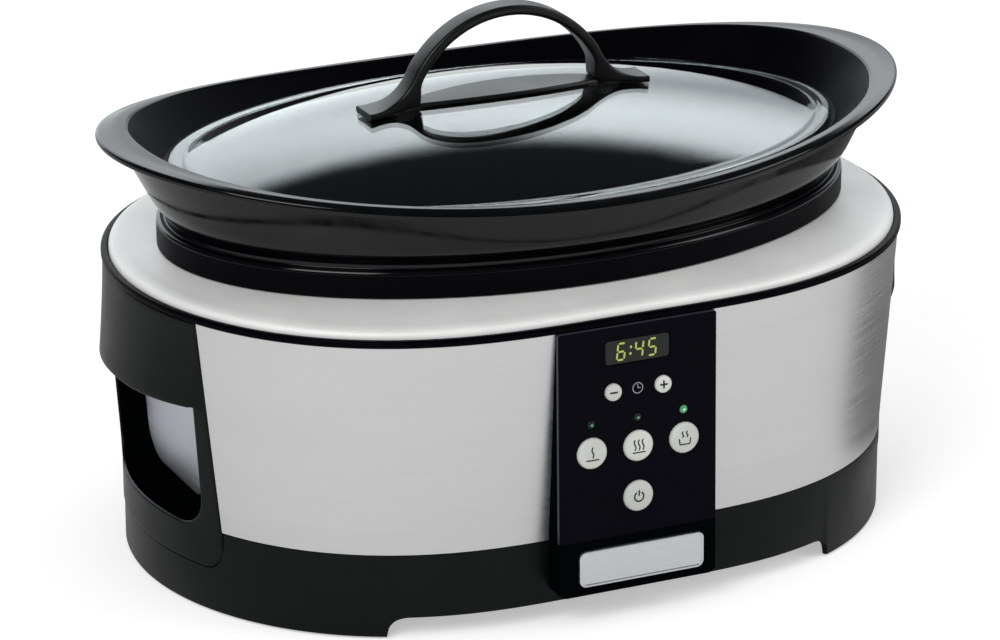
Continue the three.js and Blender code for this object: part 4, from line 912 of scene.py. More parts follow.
def build_wall(side):
    """Steel sheet of one long side, between the cuts for the end handles."""
    heights = np.linspace(WALL_BOTTOM, WALL_TOP, 24)[:, None]
    limit = angle_at(handle_half(heights) + GAP, heights)
    share = np.linspace(0, 1, 241)[None, :]
    angle = side * (limit + (math.pi - 2 * limit) * share)
    outer = housing(angle, heights, 0.0)
    inner = housing(angle, heights, -SHEET)
    middle = (outer[:-1, :-1] + outer[1:, 1:]) / 2
    keep = np.ones(middle.shape[:2], bool)
    if side < 0:
        across, height = np.abs(middle[..., 0]), middle[..., 2]
        behind = (height > WALL_BOTTOM + OPENING_BOTTOM) & (height < WALL_TOP - OPENING_TOP)
        keep = ~(behind & (across < PANEL_HALF - OPENING_SIDE))
    return shell_piece("wall_front" if side < 0 else "wall_rear", outer, inner, keep)


def build_trim_ring(sides):
    """Moulded ring: a rounded bead over the walls' upper edges, and a leg down inside them."""
    leg, seat = -SHEET - GAP, WALL_TOP + GAP
    section = rounded([
        ((-RING_INSET, RING_TOP), 1.0 * MM),
        ((RING_REACH, RING_TOP), 1.5 * MM),
        ((RING_REACH, seat), 1.2 * MM),
        ((leg, seat), 0.2 * MM),
        ((leg, RING_LOW.z), 0.3 * MM),
        ((-RING_INSET, RING_LOW.z), 0.3 * MM),
    ], True)
    angle = around(sides)[None, :]
    rings = housing(angle, section[:, 1, None], section[:, 0, None])
    return tube_piece("trim_ring_moulding", rings)


def hole_point(angle):
    """Point of the deck's oval hole in the direction of a housing point."""
    length = NECK_HALF[0] - BODY_INSET + CROCK_CLEARANCE
    depth = NECK_HALF[1] - BODY_INSET + CROCK_CLEARANCE
    reach = 1 / np.sqrt((np.cos(angle) / length) ** 2 + (np.sin(angle) / depth) ** 2)
    return np.stack([reach * np.cos(angle), reach * np.sin(angle)], -1)


def build_deck(sides, roll):
    """Pressed deck: its edge turns down inside the trim ring, its face rises to the oval hole."""
    edge = -(RING_INSET + GAP)
    inner = edge - DECK_SHOULDER_WIDTH
    # Place from the walls, height and share of the way to the hole, with the radius of each bend.
    face = rounded([
        ((edge, RING_TOP - DECK_HEM, 0.0), 0),
        ((edge, RING_TOP + 2.6 * MM, 0.0), roll * 0.55),
        ((edge - 4.6 * MM, RING_TOP + 4.2 * MM, 0.0), roll * 0.8),
        ((inner, RING_TOP + DECK_SHOULDER, 0.12), 0),
        ((inner, DECK_TOP - 0.35 * MM, DECK_COLLAR), 0),
        ((inner, DECK_TOP, 1.0), 0),
    ], False, 8)
    face = spread(face, 0.1, (2, 2))
    angle = around(sides)[None, :]
    rings = []
    for drop, rows in ((0.0, face), (DECK_THICKNESS, face[::-1])):
        for offset, height, share in rows:
            # The thickness lies inward on the hem and downward on the face.
            steep = smooth_step(height, RING_TOP + 3 * MM, RING_TOP + 4.4 * MM)
            level = np.array([[height - drop * steep]])
            rim = housing(angle, level, np.array([[offset - drop * (1 - steep)]]))
            flat = rim[..., :2] * (1 - share) + hole_point(angle) * share
            rings.append(np.concatenate([flat, rim[..., 2:]], -1)[0])
    return tube_piece("deck_pressing", np.array(rings))


def skirt_angles(sides):
    """Angles round the skirt, closer together where its arches and its handle cuts bend."""
    quarter = {*np.linspace(0, math.pi / 2, sides // 4 + 1)}
    limit = angle_at(HANDLE_HALF + GAP, WALL_BOTTOM)
    corner = np.linspace(HANDLE_HALF - HANDLE_CORNER, HANDLE_HALF + GAP, 10)
    quarter |= {*angle_at(corner, WALL_BOTTOM).tolist(), float(limit) + 2e-4}
    table = np.linspace(0, math.pi / 2, 600)
    line = housing(table, 0.0, 0.0)[:, 0]
    arch = np.linspace(ARCH_HALF - 1.05 * ARCH_END, ARCH_HALF, 14)
    quarter |= {*np.interp(-arch, -line, table).tolist()}
    quarter = np.array(sorted(quarter))
    half = np.concatenate([quarter, math.pi - quarter[-2::-1]])
    return np.concatenate([half, 2 * math.pi - half[-2:0:-1]])


def build_skirt(sides):
    """Base moulding: open under the walls, cut away for the end handles, arched in front and
    behind so that it stands on four feet."""
    angle = skirt_angles(sides)
    foot = housing(angle, 0.0, 0.0)
    across, along = np.abs(foot[:, 1]), np.abs(foot[:, 0])
    share = np.clip((ARCH_HALF - along) / ARCH_END, 0, 1)
    bottom = np.maximum(SKIRT_BOTTOM, ARCH_HEIGHT * (2 * np.sqrt(share) - share))
    past = np.clip(across - (HANDLE_HALF - HANDLE_CORNER), 0, HANDLE_CORNER)
    lift = HANDLE_CORNER - np.sqrt(np.maximum(HANDLE_CORNER ** 2 - past ** 2, 0))
    under = across <= HANDLE_HALF + GAP * 1.01
    top = np.where(under, HANDLE_BOTTOM - GAP + lift, WALL_BOTTOM - GAP)
    tongue = np.where(under, top, WALL_BOTTOM + SKIRT_TONGUE)
    behind = -SHEET - GAP
    # Offset from the housing and height, from the outer face down, under, and up behind the wall.
    section = [
        (0.0, bottom + SKIRT_EDGE),
        (-0.3 * SKIRT_EDGE, bottom + 0.3 * SKIRT_EDGE),
        (-SKIRT_EDGE, bottom),
        (-SKIRT_WALL + 0.3 * MM, bottom),
        (-SKIRT_WALL, bottom + 0.3 * MM),
        (-SKIRT_WALL, tongue),
        (behind, tongue),
        (behind, top),
        (-0.4 * MM, top),
        (0.0, top - 0.4 * MM),
    ]
    rings = [housing(angle, height, offset) for offset, height in section]
    return tube_piece("base_moulding", np.array(rings))


def end_surface(point):
    """How far out the housing's end lies at points given by their place across and height."""
    angle = angle_at(point[:, 0], point[:, 1])
    return housing(angle, point[:, 1], 0.0)[:, 0]


def end_columns():
    """Matching points on one half of an end handle: its outline, its opening and the back of its
    pocket, from the bottom middle to the top middle, and whether each belongs to the lip."""
    columns, lip = [], []
    lows = (HANDLE_BOTTOM, POCKET_BOTTOM, POCKET_BACK_BOTTOM)
    halves = (HANDLE_HALF, POCKET_HALF, POCKET_BACK_HALF)
    radii = (HANDLE_CORNER, POCKET_CORNER, POCKET_CORNER)
    outlines = list(zip(lows, halves, radii))

    def add(points, on_lip):
        columns.append(points)
        lip.append(on_lip)

    # Along the bottom, round the corner and up the side
    for u in np.linspace(0, 1, 14)[:-1]:
        add([(u * (half - radius), low) for low, half, radius in outlines], False)
    for turn in np.linspace(0, math.pi / 2, 14)[:-1]:
        add([
            (half - radius * (1 - math.sin(turn)), low + radius * (1 - math.cos(turn)))
            for low, half, radius in outlines
        ], False)
    for u in np.linspace(0, 1, 16):
        rise = [low + radius + (LIP_BOTTOM - low - radius) * u for low, _, radius in outlines]
        ends = (handle_half(rise[0]), POCKET_HALF, POCKET_BACK_HALF)
        add(list(zip(ends, rise)), False)
    # Up the side of the lip and along its top, while the opening's points run to its middle
    for u in np.linspace(0, 1, 14)[:-1]:
        height = LIP_BOTTOM + (WALL_TOP - LIP_BOTTOM) * u
        opening = (POCKET_HALF * (1 - 0.14 * u), LIP_BOTTOM)
        behind = (POCKET_BACK_HALF * (1 - 0.1 * u), POCKET_TOP)
        add([(handle_half(height), height), opening, behind], True)
    for u in np.linspace(1, 0, 26):
        opening = (0.86 * POCKET_HALF * u, LIP_BOTTOM)
        behind = (0.9 * POCKET_BACK_HALF * u, POCKET_TOP)
        add([(HANDLE_TOP_HALF * u, WALL_TOP), opening, behind], True)
    outline, opening, back = np.array(columns).transpose(1, 0, 2)
    return outline, opening, back, np.array(lip)


def build_end_handle(name, side, edge):
    """End handle as one closed ring round its opening: rim, face with the flared lip, rounded
    mouth, tapering pocket, and the inner face behind."""
    outline, opening, back, lip = end_columns()
    inward = (opening - outline) / np.linalg.norm(opening - outline, axis=1, keepdims=True)
    down = np.where(lip[:, None], np.array([0.0, -1.0]), inward)

    def front(point):
        """How far the face stands out from the housing."""
        rise = np.clip((WALL_TOP - point[:, 1]) / (WALL_TOP - LIP_BOTTOM), 0, 1)
        across = np.minimum(point[:, 0] / handle_half(LIP_BOTTOM), 1)
        return HANDLE_PROUD + np.where(lip, LIP_REACH * rise * (1 - across ** 3), 0.0)

    def out(point, depth):
        return np.column_stack([end_surface(point) + depth, point])

    def level(height):
        return np.column_stack([opening[:, 0], np.full(len(opening), height)])

    slope = LEAN / (WALL_TOP - WALL_BOTTOM)
    pocket_x = HALF_LENGTH - LEAN - POCKET_DEPTH
    floor = np.column_stack([pocket_x + slope * (back[:, 1] - WALL_BOTTOM), back])
    inner = HANDLE_PROUD - HANDLE_WALL
    quarter = np.radians((0, 30, 60, 90))
    rows = [out(outline, inner)]
    for turn in quarter:
        point = outline + inward * edge * (1 - math.cos(turn))
        rows.append(out(point, front(point) - edge * (1 - math.sin(turn))))
    start, end = outline + inward * edge, opening - down * MOUTH_ROUNDING
    for share in np.linspace(0, 1, 15)[1:-1]:
        point = start + (end - start) * share
        rows.append(out(point, front(point)))
    for turn in quarter:
        point = opening - down * MOUTH_ROUNDING * (1 - math.sin(turn))
        rows.append(out(point, front(point) - MOUTH_ROUNDING * (1 - math.cos(turn))))
    rim = rows[-1]
    # Underside of the lip: height, and how far behind the face.
    hollow = [
        (LIP_BOTTOM, 2.4 * MM),
        (LIP_BOTTOM + 0.3 * MM, 3.3 * MM),
        (LIP_BOTTOM + 1.2 * MM, LIP_WALL),
        *[(height * MM, LIP_WALL) for height in (114, 118, 122, 126, 130)],
        (POCKET_TOP - 1 * MM, 4.2 * MM),
        (POCKET_TOP, 5.4 * MM),
    ]
    under = [out(level(height), front(level(height)) - drop) for height, drop in hollow]
    roof = under[-1]
    under += [roof + (floor - roof) * share for share in np.linspace(0, 1, 8)[1:]]
    for i, lip_row in enumerate(under):
        straight = rim + (floor - rim) * (i + 1) / len(under)
        rows.append(np.where(lip[:, None], lip_row, straight))
    aside = np.where(lip[:, None], np.array([0.0, 1.0]), -inward) * POCKET_WALL
    shell = floor.copy()
    shell[:, 1:] += aside
    rows.append(shell)
    behind = np.where(lip[:, None], level(POCKET_TOP), opening) + aside
    rows.append(out(behind, inner))
    half = np.array(rows)
    other = half[:, -2:0:-1] * np.array([1, -1, 1])
    whole = np.concatenate([half, other], 1) * np.array([side, 1, 1])
    return tube_piece(name, whole, 40)


def inside_pocket(face):
    """Whether a face of an end handle lies behind the surface of the housing, where the pocket's
    painted shade goes.
    """
    x, y, z = face.center
    return abs(x) < end_surface(np.array([[abs(y), z]]))[0] - POCKET_SHADE_DEPTH


def turned_piece_tree():
    """Geometry Nodes: the same low turned piece on every point, with a chamfered edge on top
    and a socket below."""
    tree = bpy.data.node_groups.new("turned_pieces", "GeometryNodeTree")
    plan = tree.interface
    plan.new_socket("Points", in_out="INPUT", socket_type="NodeSocketGeometry")
    for name in ("Radius", "Height", "Edge", "Socket radius", "Socket depth"):
        plan.new_socket(name, in_out="INPUT", socket_type="NodeSocketFloat")
    plan.new_socket("Socket sides", in_out="INPUT", socket_type="NodeSocketInt")
    plan.new_socket("Finish", in_out="INPUT", socket_type="NodeSocketMaterial")
    plan.new_socket("Pieces", in_out="OUTPUT", socket_type="NodeSocketGeometry")
    source = add_node(tree, "NodeGroupInput").outputs
    face_radius = maths(tree, "SUBTRACT", source["Radius"], source["Edge"])
    body_height = maths(tree, "SUBTRACT", source["Height"], source["Edge"])
    drop = maths(tree, "MULTIPLY", source["Socket depth"], -1.0)
    floor = add_node(
        tree, "GeometryNodeMeshCircle",
        {"Vertices": source["Socket sides"], "Radius": source["Socket radius"]}, fill_type="NGON",
    ).outputs["Mesh"]
    raised = add_node(tree, "ShaderNodeCombineXYZ", {"Z": source["Socket depth"]}).outputs[0]
    floor = add_node(
        tree, "GeometryNodeTransform", {"Geometry": floor, "Translation": raised}
    ).outputs["Geometry"]
    shape, picked = floor, None
    steps = [
        (drop, source["Socket radius"], source["Socket radius"]),
        (0.0, source["Socket radius"], face_radius),
        (source["Edge"], face_radius, source["Radius"]),
        (body_height, source["Radius"], source["Radius"]),
    ]
    for rise, before, after in steps:
        inputs = {"Mesh": shape, "Offset Scale": rise, "Individual": False}
        inputs["Offset"] = (0.0, 0.0, 1.0)
        if picked is not None:
            inputs["Selection"] = picked
        pulled = add_node(tree, "GeometryNodeExtrudeMesh", inputs, mode="FACES")
        shape, picked = pulled.outputs["Mesh"], pulled.outputs["Top"]
        if before is not after:
            growth = maths(tree, "DIVIDE", after, before)
            shape = add_node(
                tree, "GeometryNodeScaleElements",
                {"Geometry": shape, "Selection": picked, "Scale": growth}, domain="FACE",
            ).outputs["Geometry"]
    whole = add_node(tree, "GeometryNodeJoinGeometry")
    tree.links.new(floor, whole.inputs["Geometry"])
    tree.links.new(shape, whole.inputs["Geometry"])
    merged = add_node(
        tree, "GeometryNodeMergeByDistance",
        {"Geometry": whole.outputs["Geometry"], "Distance": 1e-6},
    ).outputs["Geometry"]
    placed = add_node(
        tree, "GeometryNodeInstanceOnPoints", {"Points": source["Points"], "Instance": merged}
    ).outputs["Instances"]
    real = add_node(tree, "GeometryNodeRealizeInstances", {"Geometry": placed}).outputs["Geometry"]
    dressed = add_node(
        tree, "GeometryNodeSetMaterial", {"Geometry": real, "Material": source["Finish"]}
    ).outputs["Geometry"]
    add_node(tree, "NodeGroupOutput", {"Pieces": dressed})
    return tree


def pieces_on_points(name, points, tree, values):
    """Mesh of a Geometry Nodes tree's pieces on the given points."""
    mesh = bpy.data.meshes.new(name)
    mesh.from_pydata([tuple(point) for point in points], [], [])
    piece = bpy.data.objects.new(name, mesh)
    bpy.context.scene.collection.objects.link(piece)
    change = piece.modifiers.new("pieces", "NODES")
    change.node_group = tree
    for item in tree.interface.items_tree:
        if item.in_out == "INPUT" and item.name in values:
            change[item.identifier] = values[item.name]
    bake_modifiers(piece)
    turn_outward(piece.data)
    return piece


def seats(nodes, height):
    """Points under the middles of solid parts, at a height."""
    found = []
    for node in nodes:
        low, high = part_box(node)
        found.append(((low.x + high.x) / 2, (low.y + high.y) / 2, height))
    return found


# ---------------------------------------------------------------------------
# Crock and lid
# ---------------------------------------------------------------------------

def build_crock(sides, rounding):
    """Foot, neck on the deck, groove, flared wall, broad rim that rises towards both ends, ledge
    for the lid and the inside down to the floor."""
    half_body = (NECK_HALF[0] - BODY_INSET, NECK_HALF[1] - BODY_INSET)
    foot = (half_body[0] - BODY_DRAFT, half_body[1] - BODY_DRAFT)
    low, seat = CROCK_LOW.z, DECK_TOP + GAP
    neck = seat + NECK_HEIGHT
    half = RIM_THICKNESS / 2
    floor = low + CROCK_FLOOR

    def at(base, inset, height, rise=0.0, power=2.0):
        return (base[0] - inset, base[1] - inset, height, rise, power)

    def across_rim(share, height, fullness=2.0, inset=0.0):
        """Place at a share of the rim's width, on the surface that rises towards the ends."""
        oval = (RIM_HALF[0] - share * RIM_END_WIDTH, RIM_HALF[1] - share * RIM_SIDE_WIDTH)
        rise = RIM_RISE * (oval[0] / RIM_HALF[0]) ** 2
        return at(oval, inset, RIM_HEIGHT + height, rise, fullness)

    rest = (LID_HALF[0] + LID_ROOM, LID_HALF[1] + LID_ROOM)
    corners = [
        # Underside and outside of the foot
        (at(foot, FLOOR_MIDDLE, low), 0),
        (at(foot, 0, low), BODY_CORNER),
        (at(half_body, 0, seat), 0.5 * MM),
        # Neck and groove
        (at(NECK_HALF, 0, seat), 0.6 * MM),
        (at(NECK_HALF, 0, neck), 3.2 * MM),
        (at(NECK_HALF, GROOVE_DEPTH, neck), 0.6 * MM),
        (at(NECK_HALF, GROOVE_DEPTH, neck + 3 * MM), 1.6 * MM),
        # Flare
        (at(NECK_HALF, GROOVE_DEPTH - 6.8 * MM, neck + 9 * MM, 2.6 * MM), 4 * MM),
        (across_rim(0.62, -half), 2.2 * MM),
        # Edge of the rim, its crest and its inner edge
        (at(RIM_HALF, 0.5 * MM, RIM_HEIGHT - half, RIM_RISE), 0.8 * MM),
        (at(RIM_HALF, 0.0, RIM_HEIGHT - 0.3 * half, RIM_RISE), 0.7 * MM),
        (at(RIM_HALF, 0.5 * MM, RIM_HEIGHT + 0.55 * half, RIM_RISE), rounding),
        (across_rim(0.55, half + 0.5 * MM, 2.1), 2.4 * MM),
        (across_rim(1, half + 0.8 * MM, MOUTH_FULLNESS), 0.9 * MM),
        (across_rim(1, half - 0.8 * MM, MOUTH_FULLNESS, 1.6 * MM), 1.5 * MM),
        # Ledge for the lid, and the inside
        (at(rest, 0, LEDGE_HEIGHT), 1.2 * MM),
        (at(rest, LEDGE_REST, LEDGE_HEIGHT), 1.6 * MM),
        (at(rest, LEDGE_REST + 1.5 * MM, LEDGE_HEIGHT - CROCK_WALL), 3 * MM),
        (at(foot, CROCK_WALL, floor), BODY_CORNER),
        (at(foot, FLOOR_MIDDLE, floor), 0),
    ]
    profile = spread(rounded(corners, False, 7, (0, 2)), 9 * MM, (0, 2))
    return stack_piece("crock_stoneware", oval_rings(profile, sides), 50)


def darkened_faces(face):
    """Whether a face of the crock lies on its foot and the bottom of its neck, which are darker
    and dull, or on its inside, which gets painted shade.
    """
    x, y, z = face.center
    if face.normal.x * x + face.normal.y * y > 0:
        return z < DECK_TOP + DARKENED_LINE
    along = abs(x / (RIM_HALF[0] - RIM_END_WIDTH - DARKENED_TURN))
    across = abs(y / (RIM_HALF[1] - RIM_SIDE_WIDTH - DARKENED_TURN))
    return along ** MOUTH_FULLNESS + across ** MOUTH_FULLNESS < 1


def build_lid_glass(sides):
    """Flat flange with a rounded edge, and the dome inside it, in glass of one thickness."""
    seat = LID_LOW.z

    def dome(share, lift):
        height = DOME_EDGE + DOME_RISE * (1 - share ** 2) + lift
        return (DOME_HALF[0] * share, DOME_HALF[1] * share, height)

    def flange(inset, height):
        return (LID_HALF[0] - inset, LID_HALF[1] - inset, seat + height)

    shares = np.linspace(0.02, 0.96, 26)
    under = [(dome(share, -LID_GLASS), 0) for share in shares]
    corners = [
        *[(point, radius) for point, radius in under if point[2] > seat + 0.6 * MM],
        (flange(10 * MM, 0.0), 1.2 * MM),
        (flange(0.2 * MM, 0.0), 1.4 * MM),
        (flange(0.0, LID_EDGE), 1.7 * MM),
        (flange(5.5 * MM, LID_EDGE), 1.6 * MM),
        *[(dome(share, 0.0), 0) for share in (0.995, 0.98, *shares[::-1])],
    ]
    line = rounded(corners, False, 6, (0, 2))
    level, round_oval = np.zeros((len(line), 1)), np.full((len(line), 1), 2.0)
    stack = np.concatenate([line, level, round_oval], 1)
    return stack_piece("lid_pane", oval_rings(stack, sides), 60)


def along_line(line, shares):
    """Points at shares of a line's length."""
    steps = np.linalg.norm(np.diff(line, axis=0), axis=1)
    length = np.concatenate([[0], np.cumsum(steps)])
    length /= length[-1]
    return np.stack([np.interp(shares, length, line[:, i]) for i in range(line.shape[1])], -1)


def grip_lines():
    """Outer and inner side of the lid's handle, from the top of the arch to the tip of a foot."""
    outer, inner = ARCH_OUTER, ARCH_OUTER - ARCH_THICKNESS
    tip_low = dome_height(FOOT_REACH) + GAP
    tip_high = tip_low + FOOT_THICKNESS + 0.6 * MM
    turns = np.linspace(math.pi / 2, GRIP_SPRING, 26)
    arch = np.stack([outer * np.cos(turns), ARCH_CENTRE + outer * np.sin(turns)], -1)
    leg = arch[-1]
    bend = np.array([leg[0] + 0.3 * (FOOT_REACH - leg[0]), tip_high - 0.4 * MM])
    tip = np.array([FOOT_REACH, tip_high])
    u = np.linspace(0, 1, 30)[1:, None]
    sweep = (1 - u) ** 2 * leg + 2 * u * (1 - u) * bend + u ** 2 * tip
    inner_arch = np.stack([inner * np.cos(turns), ARCH_CENTRE + inner * np.sin(turns)], -1)
    spring = math.acos(SILL_REACH / inner)
    corner = np.array([SILL_REACH, dome_height(SILL_REACH) + GAP + SILL_RISE])
    below = [(x, dome_height(x) + GAP) for x in np.linspace(SILL_REACH + 4 * MM, FOOT_REACH, 8)]
    path = rounded([
        (inner_arch[-1], 0),
        ((SILL_REACH, ARCH_CENTRE + inner * math.sin(spring)), 3 * MM),
        (corner, 2 * MM),
        *[(point, 0) for point in below],
    ], False, 8)
    under = along_line(path, u[:, 0] ** 0.9)
    return np.concatenate([arch, sweep]), np.concatenate([inner_arch, under])


def build_grip():
    """Arched handle of the lid: two flat feet sweep up into one bow of even thickness."""
    outer, inner = grip_lines()
    foot = smooth_step(np.abs(outer[:, 0]), FOOT_START, FOOT_REACH)
    width = GRIP_HALF_WIDTH + (FOOT_HALF_WIDTH - GRIP_HALF_WIDTH) * foot
    rings = []
    for out, inn, half in zip(outer, inner, width):
        thick = np.linalg.norm(out - inn)
        soft = min(GRIP_ROUNDING, 0.42 * thick)
        corners = ((-half, 0.0), (half, 0.0), (half, thick), (-half, thick))
        section = rounded([(corner, soft) for corner in corners], True, 6)
        place = inn + (out - inn) / thick * section[:, 1, None]
        rings.append(np.stack([place[:, 0], section[:, 0], place[:, 1]], -1))
    right = np.array(rings)
    left = right[:0:-1] * np.array([-1, 1, 1])
    grip = slab_piece("lid_grip", np.concatenate([left, right]), 40)
    return weld(grip, build_sill())


def build_sill():
    """Low plate that lies on the dome between the handle's feet, broadest in its middle."""
    rows = []
    for x in np.linspace(-SILL_HALF, SILL_HALF, 41):
        half = SILL_END + (SILL_BELLY - SILL_END) * (1 - (x / SILL_HALF) ** 2)
        top = half - 0.6 * MM
        section = rounded([
            ((-half, GAP), 0.3 * MM), ((half, GAP), 0.3 * MM),
            ((top, GAP + SILL_RISE), 0.8 * MM), ((-top, GAP + SILL_RISE), 0.8 * MM),
        ], True, 5)
        fall = DOME_RISE * (section[:, 0] / DOME_HALF[1]) ** 2
        height = dome_height(x) + section[:, 1] - fall
        rows.append(np.stack([np.full(len(section), x), section[:, 0], height], -1))
    return slab_piece("grip_sill", np.array(rows), 40)


# ---------------------------------------------------------------------------
# Control panel
# ---------------------------------------------------------------------------

def on_outline(face):
    """Whether a face of the fascia belongs to its outline, which gets a painted highlight, and not
    to its front.
    """
    x, _, z = PANEL_PLACE.inverted() @ face.center
    if abs(x) <= PANEL_HALF - FASCIA_BORDER:
        if FASCIA_BOTTOM + FASCIA_BORDER <= z <= PANEL_TOP - FASCIA_BORDER:
            return False
    facing = PANEL_PLACE.to_3x3() @ Vector((0, -1, 0))
    return face.normal.dot(facing) < 0.98


def turned_on_panel(name, x, z, profile, sides=64):
    """Turned piece square to the panel, from (radius, depth) pairs with the first in front."""
    angle = around(sides)
    rings = []
    for radius, depth in profile:
        ring = [x + radius * np.cos(angle), np.full(sides, depth), z + radius * np.sin(angle)]
        rings.append(np.stack(ring, -1))
    return stack_piece(name, on_panel(np.array(rings)), 50)


def crown_depth(reach, radius, dome):
    """Depth of a domed button's face at a distance from its middle."""
    return -BUTTON_PROUD - dome * (1 - np.minimum(reach / radius, 1.0) ** 2)


def build_button(name, dome):
    """Button: domed cap with a rounded edge, a collar under the fascia and a stem behind it."""
    x, z, radius = BUTTONS[name]
    edge = 0.16 * radius
    under = FASCIA_THICKNESS + GAP
    collar_end = under + BUTTON_COLLAR_HEIGHT
    face = [share * radius for share in (0.04, 0.15, 0.3, 0.45, 0.6, 0.72)]
    profile = [(reach, float(crown_depth(reach, radius, dome))) for reach in face]
    for turn in np.radians((0, 18, 36, 54, 72, 90)):
        crown = 0.25 * dome * math.cos(turn)
        drop = edge * (1 - math.cos(turn))
        profile.append((radius - edge * (1 - math.sin(turn)), -BUTTON_PROUD - crown + drop))
    profile += [
        (radius, under),
        (radius + BUTTON_COLLAR, under),
        (radius + BUTTON_COLLAR, collar_end),
        (BUTTON_STEM, collar_end),
        (BUTTON_STEM, BUTTON_STEM_END),
        (0.3 * MM, BUTTON_STEM_END),
    ]
    return turned_on_panel("cap_" + name, x, z, profile)


def build_lens(name):
    """Lens of a lamp: a low dome on a round light guide."""
    profile = [
        (0.15 * MM, -LENS_PROUD), (0.7 * MM, -0.64 * MM), (1.4 * MM, -0.4 * MM),
        (1.85 * MM, -0.1 * MM), (LENS_RADIUS, 0.2 * MM), (LENS_RADIUS, LENS_END),
        (0.2 * MM, LENS_END),
    ]
    return turned_on_panel("lamp_" + name, BUTTONS[name][0], LENS_ROW, profile, 32)


def stroke(line, width, closed=False, blunt=False):
    """Line through points of the panel's face, with its width."""
    return np.asarray(line, float), width, closed, blunt


def ink_piece(name, strokes, front, thickness=MARK_THICKNESS):
    """Flat marks laid on the panel or on a button; front gives the depth of the surface."""
    points, faces = [], []
    for line, width, closed, blunt in strokes:
        shares = np.full(len(line), 1.0)
        if not closed:
            first, last = line[0] - line[1], line[-1] - line[-2]
            first, last = first / np.linalg.norm(first), last / np.linalg.norm(last)
            # Shares of the width near a tip, and how far past the line each of them lies.
            tips = np.array([0.3]) if blunt else np.array([0.08, 0.5, 0.85])
            out = np.array([width * 0.35]) if blunt else np.sqrt(1 - tips ** 2) * width / 2
            line = np.concatenate([
                line[0] + first * out[:, None], line, (line[-1] + last * out[:, None])[::-1]
            ])
            shares = np.concatenate([tips, shares, tips[::-1]])
        ahead = np.roll(line, -1, 0) - line if closed else np.gradient(line, axis=0)
        if closed:
            ahead = ahead + np.roll(ahead, 1, 0)
        side = np.stack([-ahead[:, 1], ahead[:, 0]], -1)
        side /= np.linalg.norm(side, axis=1, keepdims=True)
        offset = side * (shares * width / 2)[:, None]
        left, right = line + offset, line - offset
        corners = []
        for flat, lift in ((left, -0.5), (right, -0.5), (right, 1.0), (left, 1.0)):
            depth = np.array([front(x, z) for x, z in flat]) + lift * thickness
            corners.append(np.stack([flat[:, 0], depth, flat[:, 1]], -1))
        ring = np.stack(corners, 1)
        start, rows = len(points), len(ring)
        points.extend(ring.reshape(-1, 3))
        for face in grid_faces(rows, 4, closed, True):
            faces.append([start + corner for corner in face])
        if not closed:
            faces.append([start + i for i in (3, 2, 1, 0)])
            faces.append([start + (rows - 1) * 4 + i for i in range(4)])
    return new_piece(name, on_panel(np.array(points)), faces, 40)


def arc(x, z, radius, start, end, steps=28):
    """Points along part of a circle, between two angles in degrees."""
    turns = np.radians(np.linspace(start, end, steps))
    return np.stack([x + radius * np.cos(turns), z + radius * np.sin(turns)], -1)


def wave(x, low, high, swing=0.45 * MM):
    """Rising wave of warm air."""
    height = np.linspace(low, high, 18)
    turn = (height - low) / (high - low) * 2 * math.pi
    return np.stack([x + swing * np.sin(turn), height], -1)


def symbol_strokes(name):
    """Marks on a button, about its middle."""
    fine, bold, broad = 0.72 * MM, 0.85 * MM, 0.95 * MM
    level = [(-1.7 * MM, 0), (1.7 * MM, 0)]
    upright = [(0, -1.7 * MM), (0, 1.7 * MM)]
    if name == "power":
        return [
            stroke(arc(0, -0.2 * MM, 2.5 * MM, 128, 412), bold),
            stroke([(0, 0.5 * MM), (0, 2.9 * MM)], bold),
        ]
    if name == "minus":
        return [stroke(level, broad)]
    if name == "plus":
        return [stroke(level, broad), stroke(upright, broad)]
    bar = stroke([(-3.2 * MM, -3.3 * MM), (3.2 * MM, -3.3 * MM)], fine)
    if name == "low":
        return [stroke(wave(0, -1.9 * MM, 3.2 * MM), fine), bar]
    if name == "high":
        waves = [wave(x * MM, -1.9 * MM, 3.2 * MM) for x in (-2.2, 0, 2.2)]
        return [*[stroke(line, fine) for line in waves], bar]
    pot = [
        (-3.1 * MM, -0.4 * MM), (-2.7 * MM, -3.2 * MM), (2.7 * MM, -3.2 * MM),
        (3.1 * MM, -0.4 * MM),
    ]
    waves = [wave(x * MM, 0.6 * MM, 3.4 * MM, 0.35 * MM) for x in (-1.2, 1.2)]
    return [stroke(line, fine) for line in (pot, *waves)]


def build_symbol(name, dome):
    """Mark of a button, laid on its dome."""
    x, z, radius = BUTTONS[name]

    def front(px, pz):
        return float(crown_depth(math.hypot(px - x, pz - z), radius, dome))

    middle = np.array([x + MARK_SHIFT[0], z + MARK_SHIFT[1]])
    marks = [
        (spread(line + middle, 0.5 * MM), width, closed, blunt)
        for line, width, closed, blunt in symbol_strokes(name)
    ]
    return ink_piece("mark_" + name, marks, front)


# Ends of each segment, as shares of a digit's width and height, and the segments of each digit.
DIGIT_SEGMENTS = {
    "top": ((0, 1), (1, 1)),
    "upper_left": ((0, 0.5), (0, 1)),
    "upper_right": ((1, 0.5), (1, 1)),
    "middle": ((0, 0.5), (1, 0.5)),
    "lower_left": ((0, 0), (0, 0.5)),
    "lower_right": ((1, 0), (1, 0.5)),
    "bottom": ((0, 0), (1, 0)),
}
DIGITS = {
    "4": ("upper_left", "upper_right", "middle", "lower_right"),
    "5": ("top", "upper_left", "middle", "lower_right", "bottom"),
    "6": ("top", "upper_left", "middle", "lower_left", "lower_right", "bottom"),
}


